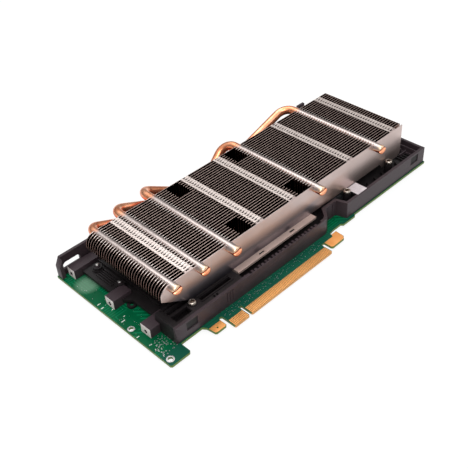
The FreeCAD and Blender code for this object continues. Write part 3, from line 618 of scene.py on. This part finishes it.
# the same coat drawn much darker down in the casting, as painted shade
CASTING_SHADED = black_casting("black_coat_with_painted_shade", "#0d0a0b", "#1b1618", 0.4, 0.6)
MILLED = machined_face()
FIN_SHEET = fin_sheet()
PLATE_SHEET = bright_sheet("nickel_plated_side_sheet", "#baa8a3", "#d4c2bd", 0.3, 0.36, metallic=0.9,
                           painted_reflection_band=(18.0, 34.0))
BASE_NICKEL = bright_sheet("nickel_plated_copper_block", "#b8a298", "#d8c0b5", 0.3, 0.42, metallic=0.5)
PIPE = pipe_copper()
# black moulded epoxy: matt with a faint grain
EPOXY = speckled("moulded_chip_epoxy", "#141415", "#212123", 0.3, 0.5, 0.7)
# soft grey thermal pad: dull, slightly oily patches
PAD = speckled("thermal_pad_silicone", "#8d9298", "#a9adb2", 0.8, 0.6, 0.85)
# sintered ferrite: dark grey, sandy
FERRITE = speckled("sintered_ferrite", "#2e2e30", "#454547", 0.25, 0.6, 0.85, bump=0.4)
# plain aluminium can: bright, slightly hazy
CAN = speckled("plain_aluminium_can", "#b4b6ba", "#d2d4d8", 0.6, 0.2, 0.35, metallic=1.0, bump=0.05)
# glass-filled nylon: black, semi-matt, faint glass grain
NYLON = speckled("glass_filled_nylon", "#0f0f10", "#1d1d1f", 0.4, 0.4, 0.6)
# plain spring steel and bright zinc-plated screws
SPRING = speckled("plain_spring_steel", "#8d8b89", "#b0aeab", 0.5, 0.25, 0.4, metallic=1.0, bump=0.1)
STEEL = speckled("bright_plated_steel", "#8f867d", "#b9b0a6", 0.5, 0.2, 0.34, metallic=1.0, bump=0.08)
# coated paper film, almost plain
FILM = speckled("blank_label_film", "#bfb5b8", "#d8cfd2", 1.0, 0.45, 0.6, bump=0.05)
# white legend ink, matt
INK = speckled("white_legend_ink", "#c3ccc4", "#e2e9e2", 0.5, 0.6, 0.8, bump=0.05)
# tin-lead solder on pads: soft silver
SOLDER = speckled("reflowed_solder", "#b4b2b4", "#dedbdc", 0.4, 0.2, 0.4, metallic=1.0, bump=0.3)
# painted shade for the shadowed inside of a drilled or driven hole, and for recesses never lit
HOLE_SHADE = speckled("painted_shade_in_holes", "#0b0a0a", "#161414", 0.3, 0.6, 0.8)

REPEAT = repeat_tree()
SCATTER = scatter_tree()
COIL = coil_tree()

# ---------------------------------------------------------------- fins

FIN_LEFT, FIN_RIGHT, FIN_BOTTOM = 14.1, 232.4, 12.0
NOSE_RADIUS = 6.5
NOSE_FACE_BOTTOM, NOSE_SLOPE_END = 24.0, 33.6
WELLS = ((76.3, 85.9), (127.1, 136.7))
SEAT_RADIUS = 3.07
SEAT_STEPS = 16
LIP = math.asin((FIN_TOP - PIPE_AXIS) / SEAT_RADIUS)
SEAT_TURN = -(math.pi + 2 * LIP)
# the strips of a joining tab and how far each reaches: two that meet the next fin, and a short tongue
# that leaves the joint's slot open
TAB_STRIPS = ((-3.0, -1.5, 2.08), (0.5, 3.0, 1.95), (-1.5, 0.5, 1.25))
TAB_THICK = 0.4


def ends(left, right):
    """Where a fin starts and stops; None is the stack's own end."""
    return FIN_LEFT if left is None else left, FIN_RIGHT if right is None else right


def fin_profile(left, right, lower=()):
    """A fin seen from the near side, between two cuts, with a round seat for each pipe in its top edge."""
    start, stop = ends(left, right)
    outline = [(stop, FIN_TOP)]
    for centre in sorted((p[0] for p in PIPES.values()), reverse=True):
        if start < centre < stop:
            outline += arc(centre, PIPE_AXIS, SEAT_RADIUS, LIP, SEAT_TURN, SEAT_STEPS)
    if left is None:
        outline += arc(FIN_LEFT + NOSE_RADIUS, FIN_TOP - NOSE_RADIUS, NOSE_RADIUS, math.pi / 2, math.pi / 2, 8)
        outline += [(FIN_LEFT, NOSE_FACE_BOTTOM), (NOSE_SLOPE_END, FIN_BOTTOM)]
    else:
        outline += [(start, FIN_TOP), (start, FIN_BOTTOM)]
    return outline + (list(lower) if lower else [(stop, FIN_BOTTOM)])


def tab(shape, row, v, root):
    """A sheet's joining tab in one row, bent over the top from its root."""
    for u0, u1, reach in TAB_STRIPS:
        shape.box(row + u0, row + u1, v + root, v + reach, FIN_TOP - TAB_THICK, FIN_TOP)


def fin_run(node, first, count, left, right):
    """One run of fins: thin sheets with drawn collars round the pipes and joining tabs bent over the top."""
    fin = Shape()
    start, stop = ends(left, right)
    v = FIN_FIRST + FIN_PITCH * first
    fin.prism(fin_profile(left, right), "v", v, v + FIN_THICK)
    for centre, *_ in PIPES.values():
        if start < centre < stop:
            collar(fin, centre, v)
    for row in TAB_ROWS:
        if start < row < stop:
            tab(fin, row, v, 0.2)
            fin.box(row - 1.5, row + 0.5, v + 1.0, v + 1.25, FIN_TOP - 1.6, FIN_TOP - TAB_THICK)
    if right is None:
        # a short lip bent over at the far end of each fin closes the top corner
        fin.box(stop - 0.35, stop, v + 0.2, v + 2.05, FIN_TOP - 5.0, FIN_TOP - 0.1)
    made = in_row(f"{node}_sheets", fin.object(f"{node}_template", [FIN_SHEET]), count, (0.0, FIN_PITCH, 0.0))
    own(made, "plated_fins", node)


def collar(shape, centre, v, reach=0.7, wall=0.3):
    """The drawn collar that a fin holds a pipe with, open at the top like the seat."""
    inner, outer = (arc(centre, PIPE_AXIS, radius, LIP, SEAT_TURN, SEAT_STEPS)
                    for radius in (SEAT_RADIUS, SEAT_RADIUS + wall))
    places = [(u, y, min(w, FIN_TOP)) for pair in zip(inner, outer) for u, w in pair
              for y in (v + 0.1, v + reach)]
    faces = []
    for j in range(0, 4 * SEAT_STEPS, 4):
        k = j + 4
        faces += [(j, j + 1, k + 1, k), (j + 2, j + 3, k + 3, k + 2), (j + 1, j + 3, k + 3, k + 1),
                  (j, j + 2, k + 2, k)]
    last = 4 * SEAT_STEPS
    faces += [(0, 1, 3, 2), (last, last + 1, last + 3, last + 2)]
    shape.put(places, faces)


# each run of fins: its node, its first row and number of rows, and the cuts that it ends at
RUNS = (("fins_near_left", 1, 6, None, WELLS[0][0]), ("fins_near_centre", 1, 6, WELLS[0][1], WELLS[1][0]),
        ("fins_near_right", 1, 6, WELLS[1][1], None), ("fins_middle", 7, 19, None, None),
        ("fins_far_left", 26, 6, None, WELLS[0][0]), ("fins_far_centre", 26, 6, WELLS[0][1], WELLS[1][0]),
        ("fins_far_right", 26, 6, WELLS[1][1], None))
for run in RUNS:
    fin_run(*run)


FAR_PLATE_ROW = 32


def side_plates():
    """The two outer sheets of the stack: the near one bright and flat, with a skirt at its far end."""
    near = Shape()
    skirt = [(209.0, FIN_BOTTOM), (212.0, 8.4), (229.0, 8.4), (231.6, 9.6), (FIN_RIGHT, 11.8)]
    near.prism(fin_profile(None, None, skirt), "v", FIN_FIRST, FIN_FIRST + 0.55)
    for row in TAB_ROWS:
        tab(near, row, FIN_FIRST, 0.3)
    own(near.object("near_side_plate_sheet", [PLATE_SHEET], bevel=0.12), "plated_fins", "near_side_plate")
    far = Shape()
    v = FIN_FIRST + FIN_PITCH * FAR_PLATE_ROW
    far.prism(fin_profile(None, None), "v", v, v + FIN_THICK)
    own(far.object("far_side_plate_sheet", [FIN_SHEET], bevel=0.1), "plated_fins", "far_side_plate")


side_plates()

# ---------------------------------------------------------------- heat pipes


def rounded_route(points, radius, steps=10):
    """Straight runs joined by tangent arcs."""
    places = [points[0]]
    for before, corner, after in zip(points, points[1:], points[2:]):
        into = (corner - before).normalized()
        out = (after - corner).normalized()
        half = into.angle(out) / 2
        start = corner - into * (radius * math.tan(half))
        centre = corner + (out - into).normalized() * (radius / math.cos(half))
        axis = into.cross(out).normalized()
        for i in range(steps + 1):
            places.append(centre + Quaternion(axis, 2 * half * i / steps) @ (start - centre))
    places.append(points[-1])
    return places


def heat_pipe(letter, sides=36):
    """A round tube from its sealed tip, along the fins, down behind them and into the base plate."""
    u, tip, out, base = PIPES[letter]
    bend, turn_radius = BENDS[letter]
    route = rounded_route([Vector((u, tip + 2.6, PIPE_AXIS)), Vector((u, bend, PIPE_AXIS)),
                           Vector((base, out, PIPE_LOW)), Vector((base, PIPE_INNER_END, PIPE_LOW))], turn_radius)
    # the tip is swaged in to a blunt dome
    dome = [(0.02, 0.0), (0.5, 0.0), (1.0, 0.0), (1.5, 0.05), (2.0, 0.15), (2.5, 0.35), (2.85, 0.7), (2.97, 1.2)]
    rings = [(Vector((u, tip + offset, PIPE_AXIS)), radius) for radius, offset in dome]
    rings += [(p, PIPE_RADIUS) for p in route]
    tangents = []
    for i in range(len(rings)):
        ahead = rings[min(i + 1, len(rings) - 1)][0] - rings[max(i - 1, 0)][0]
        tangents.append(ahead.normalized() if i > len(dome) else Vector((0, 1, 0)))
    up = Vector((0, 0, 1))
    places, depths = [], []
    for (place, radius), ahead, earlier in zip(rings, tangents, [tangents[0]] + tangents):
        up = earlier.rotation_difference(ahead) @ up
        side = ahead.cross(up)
        for i in range(sides):
            turn = 2 * math.pi * (i + 0.5) / sides
            spot = place + side * (radius * math.cos(turn)) + up * (radius * math.sin(turn))
            # height above the crease, which slants by 12 degrees, 0.7 mm over the axis
            lift = 0.976 * (spot.z - PIPE_AXIS - 0.7) - 0.216 * (spot.x - u)
            above = max(-1.0, min(1.0, lift / 0.4))
            if place.y < tip + PINCH:
                # the end is pinched a little wider than the tube, with the crease above its lower lip
                left = 1.0 - (place.y - tip) / PINCH
                spot.x += 0.14 * left * (spot.x - u)
                spot.y += left * (1.5 * math.exp(-(lift / 0.5) ** 2) - 0.35 * (1.0 - above))
            depths.append(place.y - tip + PINCH * above)
            places.append(tuple(spot))
    pipe = Shape()
    pipe.put(places, tube_faces(len(rings), sides))
    made = pipe.object(f"heat_pipe_{letter}_tube", [PIPE], smooth=60.0)
    # how far each place is behind the tip; the lip under the crease counts as nearer
    behind = made.data.attributes.new("from_tip", "FLOAT", "POINT")
    behind.data.foreach_set("value", depths)
    own(made, "pipe_copper", f"heat_pipe_{letter}")


for letter in PIPES:
    heat_pipe(letter)

# ---------------------------------------------------------------- base plate, frame, headers


BOSS_FACE = 5.7
# just under 5 mm, in metres
TAPPED_DEPTH = 0.0049


def frame_pieces():
    """The black casting: its plain nodes with rounded edges, and the ribs and rims too fine for them."""
    deck = Shape()
    # long ribs on the deck at the bracket end, with slots between them
    for u0, u1, v in ((37.0, 62.0, 23.0), (16.0, 62.0, 27.6), (16.0, 62.0, 30.2), (37.0, 62.0, 18.6)):
        deck.box(u0, u1, v, v + 0.8, 11.8, 12.5)
    slots = Shape()
    for u0, u1, v0, v1 in ((37.5, 61.5, 19.8, 22.4), (17.0, 61.5, 24.6, 27.0), (17.0, 61.5, 28.9, 29.8),
                           (17.0, 28.6, 17.6, 22.6), (44.2, 45.6, 16.2, 17.7), (46.5, 47.9, 16.2, 17.7)):
        slots.box(u0, u1, v0, v1, 9.0, 12.8)
    # small upright ribs on the faces of the near wall
    near = Shape()
    near.boxes(3, (2.2, 0.0), 52.0, 52.9, 13.5, 14.0, 3.0, 10.4)
    near.boxes(3, (4.5, 0.0), 146.0, 146.8, 21.2, 21.7, 2.0, 10.5)
    # pockets between the comb's ribs open into the wall's inner edge
    comb = Shape()
    comb.boxes(11, (6.0, 0.0), 71.7, 75.9, 14.5, 16.2, 4.6, 12.8)
    end = Shape()
    end.box(242.4, 243.3, 17.0, 66.0, 4.2, 9.2)
    end.box(240.4, 241.0, 17.0, 66.0, 4.2, 6.4)
    end.boxes(7, (0.0, 6.4), 234.4, 242.6, 19.0, 19.8, 4.2, 7.0)
    # the tray beside the fins is crossed by slanting ribs
    floor = Shape()
    for i in range(5):
        u = 190.0 + 8.0 * i
        floor.prism([(u, 16.0), (u + 0.8, 16.0), (u + 4.8, 24.0), (u + 4.0, 24.0)], "w", TRAY, 6.2)
    floor.boxes(14, (2.6, 0.0), 32.0, 32.8, 94.0, 107.6, TRAY, 4.9)
    # the tray at the far end is ribbed both ways
    floor.boxes(4, (2.6, 0.0), 232.0, 232.7, 17.0, 60.0, TRAY, 5.6)
    # sleeves round the two posts, a foot by the second boss, and ribs between the bosses
    for v in (93.0, 70.7):
        floor.ring(18.5, v, 1.6, 3.0, TRAY, 6.9)
        floor.ring(18.5, v, 3.0, 3.7, TRAY, 5.2)
    floor.ring(15.0, 56.5, 1.3, 3.0, 0.1, 1.4)
    floor.boxes(5, (1.5, 0.0), 14.2, 14.9, 74.5, 89.5, TRAY, 5.0)
    floor.box(22.6, 23.4, 40.0, 98.0, TRAY, 6.0)
    # at the bracket end the floor stops short of the far wall's arch
    corner = Shape()
    corner.box(9.0, 17.4, 106.7, 112.0, 1.0, 5.0)
    softened("frame_decks", CASTING_SHADED, "cast_frame", 0.2, deck, holes=slots)
    wall = softened("frame_near_wall", CASTING, "cast_frame", 0.2, near, kinds=(HOLE_SHADE,), holes=comb)
    for polygon in wall.data.polygons:
        # the recesses at both ends of the wall are never lit, and get painted shade
        centre = polygon.center * 1000 - at(0, 0, 0) * 1000
        inside = 14.3 < centre.y < 15.4 and centre.z < 11.5 and not 40 <= centre.x <= 200
        if inside and polygon.normal.y < -0.9:
            polygon.material_index = 1
    softened("frame_far_wall", CASTING, "cast_frame", 0.14)
    softened("frame_end_wall", CASTING, "cast_frame", 0.25, end)
    softened("frame_floor", CASTING_SHADED, "cast_frame", 0.15, floor, holes=corner)
    softened("frame_bracket_wall", CASTING_SHADED, "cast_frame", 0.25)
    # the bosses are milled where the bracket sits, and their tapped holes get painted shade
    bosses = softened("frame_bosses", CASTING, "cast_frame", 0.25, kinds=(MILLED, HOLE_SHADE))
    face = at(BOSS_FACE, 0, 0).x
    for polygon in bosses.data.polygons:
        if polygon.normal.x < -0.9 and abs(polygon.center.x - face) < 2e-4:
            polygon.material_index = 1
        elif polygon.center.x < face + TAPPED_DEPTH and 0 < abs(polygon.normal.x) < 0.1 and polygon.area < 1e-6:
            polygon.material_index = 2


def base_plate():
    """The base plate: its lip ends short of the near wall, and the screws' clearance holes in it get painted
    shade.
    """
    trim = Shape()
    trim.box(60.0, 145.0, 18.0, 20.3, 9.0, 12.6)
    base = softened("heatsink_base", BASE_NICKEL, "plated_copper", 0.2, kinds=(HOLE_SHADE,), holes=trim)
    for polygon in base.data.polygons:
        if polygon.normal.z > 0.9 and abs(polygon.center.z - at(0, 0, 11.4).z) < 2e-4:
            polygon.material_index = 1


frame_pieces()
base_plate()
for node, material, slot, bevel in (
        ("power_header_8", NYLON, "header_nylon", 0.25), ("power_header_6", NYLON, "header_nylon", 0.25),
        ("power_inductors", FERRITE, "inductor_ferrite", 0.6), ("memory_chips", EPOXY, "chip_epoxy", 0.12),
        ("power_chips", EPOXY, "chip_epoxy", 0.1), ("processor_lid", BASE_NICKEL, "plated_copper", 0.3),
        ("backing_plate", SPRING, "spring_steel", 0.2)):
    softened(node, material, slot, bevel)
for node, material in (("circuit_board", LAMINATE), ("processor_substrate", LAMINATE), ("thermal_pads", PAD),
                       ("header_pins_8", GOLD), ("header_pins_6", GOLD), ("blank_label", FILM)):
    NODES[node].data.materials.clear()
    NODES[node].data.materials.append(material)

# ---------------------------------------------------------------- fasteners


# turned profiles as (radius, height) pairs
POST = ((1.5, 0.0), (1.5, 2.9), (1.35, 3.1), (1.35, 3.4))
POST_CAP = ((1.15, 0.0), (1.3, 0.15), (1.3, 0.55), (1.05, 0.82), (0.5, 0.9))
CAPACITOR = ((3.6, 0.0), (3.95, 0.3), (3.95, 1.2), (3.6, 1.6), (3.6, 1.9), (3.95, 2.3), (3.95, 7.2), (3.8, 7.7),
             (3.4, 7.9), (1.0, 7.95))


def turned_part(name, profile, sides, material):
    """A round part from its profile, standing at the origin."""
    part = Shape()
    part.turned(0.0, 0.0, profile, sides)
    return part.object(name, [material], local=True)


def driven_head(name, radius, height, shank, shank_radius, recess=0.6):
    """A pan-head screw with a six-pointed recess, standing with its seat at zero."""
    screw = turned_part(name, [
        (shank_radius * 0.8, -shank), (shank_radius, -shank + 0.4), (shank_radius, -0.02), (radius * 0.97, 0.0),
        (radius, height * 0.35), (radius * 0.93, height * 0.75), (radius * 0.78, height * 0.96),
        (radius * 0.66, height)], 32, STEEL)
    star = Shape()
    turns = [math.pi * i / 6 for i in range(12)]
    reach = [radius * recess * (1.0 if i % 2 else 0.68) for i in range(12)]
    star.prism([(r * math.cos(a), r * math.sin(a)) for r, a in zip(reach, turns)], "w", 0.15, height + 1.0)
    made = carved(screw, star.object("recess", [STEEL], local=True), name)
    settle(made.data)
    return made


def fasteners():
    """Screws, springs and posts."""
    top = [(32.4, 21.8, 11.9, 30.0, 1.0), (170.1, 21.8, 11.9, 65.0, 1.0), (215.2, 21.6, 11.9, 10.0, 1.0)]
    scattered("top_pan_head_screws", driven_head("pan_head", 2.55, 2.1, 5.5, 1.25), top,
              "screw_steel", "top_screws")
    corners = [(CHIP[0] + SINK_REACH[0] * i, CHIP[1] + SINK_REACH[1] * j) for i in (-1, 1) for j in (-1, 1)]
    sink = [(u, v, 16.0, 20.0 + 17.0 * i, 1.0) for i, (u, v) in enumerate(corners)]
    scattered("spring_loaded_screws", driven_head("sink_head", 3.2, 1.8, 18.4, 1.5), sink,
              "screw_steel", "heatsink_screws")
    coil = grow(empty_mesh("coil"), "coil", COIL, Turns=5.0, Coil_radius=0.00245, Height=0.0062,
                Wire_radius=0.00035, Finish=SPRING)
    scattered("screw_coil_springs", coil, [(u, v, 9.4, 0.0, 1.0) for u, v in corners],
              "spring_steel", "screw_springs")
    # the card's own screws, whose heads it rests on, are driven from the solder side
    low = [(22.0, 26.0), (164.0, 18.9), (240.0, 22.0), (240.0, 60.0), (190.0, 105.0), (52.0, 105.5)]
    head = driven_head("board_head", 2.5, 1.6, 4.7, 1.25)
    head.data.transform(Matrix.Rotation(math.pi, 4, "X"))
    scattered("board_pan_head_screws", head, [(u, v, BOARD_BACK, 25.0 * i, 1.0) for i, (u, v) in enumerate(low)],
              "screw_steel", "frame_screws")
    posts = [(18.5, 93.0, 4.2, 0.0, 1.0), (18.4, 70.7, 4.2, 0.0, 1.0)]
    scattered("standoff_round_posts", turned_part("post", POST, 20, CASTING), posts, "cast_frame",
              "standoff_posts")
    scattered("post_round_caps", turned_part("cap", POST_CAP, 20, SPRING),
              [(u, v, 7.6, 0.0, 1.0) for u, v, *_ in posts], "screw_steel", "post_caps")


fasteners()
# capacitor cans, with a rolled groove above the base and a domed top
scattered("power_capacitor_cans", turned_part("can", CAPACITOR, 28, CAN),
          [(180.5, 33.0 + 13.0 * i, 0.0, 0.0, 1.0) for i in range(5)], "can_aluminium", "power_capacitors")

# ---------------------------------------------------------------- board details


CONTACT_WIDTH = 0.7
# the two parts of the tongue: start, width and number of contacts, 1 mm apart
TONGUES = ((44.14, 11.65, 11), (57.69, 71.65, 71))


def contacts(name, node, low, high):
    """The plated contacts of one side, each with a rounded inner end, in rows of eleven and seventy-one."""
    rows = []
    half = CONTACT_WIDTH / 2
    for start, width, count in TONGUES:
        left = start + (width - (count - 1)) / 2 - half
        pad = Shape()
        outline = [(left, 0.08), (left + CONTACT_WIDTH, 0.08)] + arc(left + half, 5.9, half, 0.0, math.pi, 6)
        pad.prism(outline, "w", low, high)
        rows.append(in_row(f"{name}_{count}", pad.object("contact", [GOLD]), count, (1.0, 0.0, 0.0)))
    joined, other = rows
    gathered((joined.data, other.data), joined.data)
    bpy.data.objects.remove(other)
    joined.name = name
    own(joined, "contact_gold", node)


contacts("front_edge_contacts", "front_contacts", 0.0, 0.05)
contacts("back_edge_contacts", "back_contacts", BOARD_BACK - 0.05, BOARD_BACK)


def via(name, inner, outer, thick):
    """One tinned ring round a plated hole."""
    shape = Shape()
    shape.ring(0.0, 0.0, inner, outer, 0.0, thick, 12)
    return shape.object(name, [SOLDER], local=True)


def board_details():
    """Plated rings, vias, solder pads and ink bars on the board."""
    # plated hook and tab; the tab has a small hole
    plate = Shape()
    plate.prism([(132.3, 9.0), (132.3, 3.5), (133.2, 2.5), (143.7, 2.7), (145.5, 4.5), (145.9, 10.8),
                 (141.4, 10.8), (140.4, 9.0)], "w", 0.0, 0.04)
    eye = arc(36.5, 6.8, 0.58, -math.pi / 2, -math.pi, 6)
    plate.prism([(36.5, 9.6), (32.5, 9.6), (33.1, 5.1), (33.9, 4.3), (36.5, 4.3)] + eye, "w", 0.0, 0.04)
    plate.prism([(36.5, 4.3), (40.7, 4.3), (41.4, 4.9), (41.4, 9.6), (36.5, 9.6)]
                + [(73.0 - u, v) for u, v in reversed(eye)], "w", 0.0, 0.04)
    own(plate.object("plated_hook_and_tab", [GOLD]), "contact_gold")
    # the plated rings of the bracket's holes, on both faces
    pads = Shape()
    for u, v, inner, front, back in ((3.24, 9.0, 1.6, 2.4, 2.75), (2.74, 42.3, 1.45, 2.15, 2.4)):
        pads.ring(u, v, inner, front, 0.0, 0.05, 36)
        pads.ring(u, v, inner, back, BOARD_BACK - 0.05, BOARD_BACK, 36)
    own(pads.object("plated_hole_rings", [SOLDER]), "contact_gold")
    # plain bars of white ink beside the bracket end's parts
    bars = Shape()
    for u, v, long in ((2.3, 71.9, 2.4), (1.8, 67.9, 2.2), (3.6, 50.5, 2.6), (1.5, 34.7, 1.8), (5.0, 62.4, 1.2),
                       (6.4, 53.2, 1.0)):
        bars.box(u - long / 2, u + long / 2, v - 0.28, v + 0.28, 0.0, 0.03)
    own(bars.object("white_ink_bars", [INK]), "board_laminate")
    # rows of through-hole pins near the bracket end, and free holes scattered in fields round them
    chance = random.Random(7)

    def field(count, u0, u1, v0, v1, least, most):
        """Places in a field, each drawn as u, v and size."""
        return [(chance.uniform(u0, u1), chance.uniform(v0, v1), 0.0, 0.0, chance.uniform(least, most))
                for _ in range(count)]

    pins = [(5.0 + 1.9 * i, 20.4 + 1.9 * j + 0.3 * (i % 2), 0.0, 0.0, 1.0) for i in range(11) for j in range(3)]
    pins += field(50, 1.4, 14.0, 13.0, 27.0, 0.6, 1.1) + field(60, 16.0, 30.0, 14.4, 16.0, 0.5, 0.9)
    scattered("through_hole_rings", via("via", 0.16, 0.42, 0.04), pins, "contact_gold")
    small = field(70, 1.0, 27.0, 36.0, 98.0, 0.4, 0.7) + field(170, 46.0, 130.0, 8.6, 13.2, 0.45, 0.8)
    scattered("fine_vias", via("fine", 0.14, 0.36, 0.03), small, "contact_gold")


board_details()

# ---------------------------------------------------------------- stage


# lamps as name, place and size in metres, and power in watts
LAMPS = (("key", (-0.5, -0.45, 0.95), 0.7, 7.0), ("fill", (0.9, -0.7, 0.7), 1.0, 3.0),
         ("top", (0.1, 0.5, 1.3), 0.9, 6.0))
CAMERA_PLACE = (-0.27580636, -0.27431574, 0.31448178)
CAMERA_TURN = Quaternion((0.8321722953, 0.4011308947, -0.1397935710, -0.3564281608))
CAMERA_LENS = 58.1505


def seen_or_mirrored(tree):
    """The light path's camera ray, and whether a ray comes from the camera or off a bright surface."""
    path = add(tree, "ShaderNodeLightPath")
    seen = calc(tree, "MAXIMUM", path.outputs["Is Camera Ray"], path.outputs["Is Glossy Ray"])
    return path.outputs["Is Camera Ray"], seen


def stage():
    """A plain pale floor in a pale room, three soft lamps and the camera."""
    half = 4.0
    floor_mesh = bpy.data.meshes.new("floor")
    floor_mesh.from_pydata([(-half, -half, 0), (half, -half, 0), (half, half, 0), (-half, half, 0)], [],
                           [(0, 1, 2, 3)])
    linked("floor", floor_mesh)
    made = bpy.data.materials.new("pale_floor_paper")
    tree = empty_tree(made)
    # the floor shows nearly white but keeps the card's shadow
    _, seen = seen_or_mirrored(tree)
    share = calc(tree, "MULTIPLY", seen, 0.8)
    paper = add(tree, "ShaderNodeBsdfDiffuse", {"Color": "#f4f4f4"})
    glow = add(tree, "ShaderNodeEmission", {"Color": "#ffffff", "Strength": 1.05})
    mixed = add(tree, "ShaderNodeMixShader", {0: share, 1: paper, 2: glow})
    add(tree, "ShaderNodeOutputMaterial", {"Surface": mixed})
    floor_mesh.materials.append(made)
    world = bpy.data.worlds.new("pale_room")
    bpy.context.scene.world = world
    tree = empty_tree(world)
    camera_ray, seen = seen_or_mirrored(tree)
    # metal sees a room that is bright above and dim near its walls
    way = add(tree, "ShaderNodeTexCoord")
    height = xyz(tree, way.outputs["Generated"])
    climb = ranged(tree, height["Z"], (0.08, 0.84))
    steep = calc(tree, "POWER", climb, 2.0)
    room = calc(tree, "MULTIPLY_ADD", steep, 1.2, 0.1)
    shown = calc(tree, "MAXIMUM", room, camera_ray)
    strength = add(tree, "ShaderNodeMix", {0: seen, 2: 0.55, 3: shown})
    sky = add(tree, "ShaderNodeBackground", {"Color": "#ffffff", "Strength": strength})
    add(tree, "ShaderNodeOutputWorld", {"Surface": sky})
    for name, place, size, power in LAMPS:
        lamp = bpy.data.lights.new(name, "AREA")
        lamp.size = size
        lamp.energy = power
        made = linked(name, lamp)
        made.location = place
        made.rotation_euler = (-Vector(place)).to_track_quat("-Z", "Y").to_euler()
    lens = bpy.data.cameras.new("camera")
    lens.lens = CAMERA_LENS
    lens.sensor_width = 36.0
    lens.clip_start = 0.01
    camera = linked("camera", lens)
    camera.location = CAMERA_PLACE
    camera.rotation_euler = CAMERA_TURN.to_euler()
    bpy.context.scene.camera = camera
    bpy.context.scene.view_settings.view_transform = "Standard"


stage()
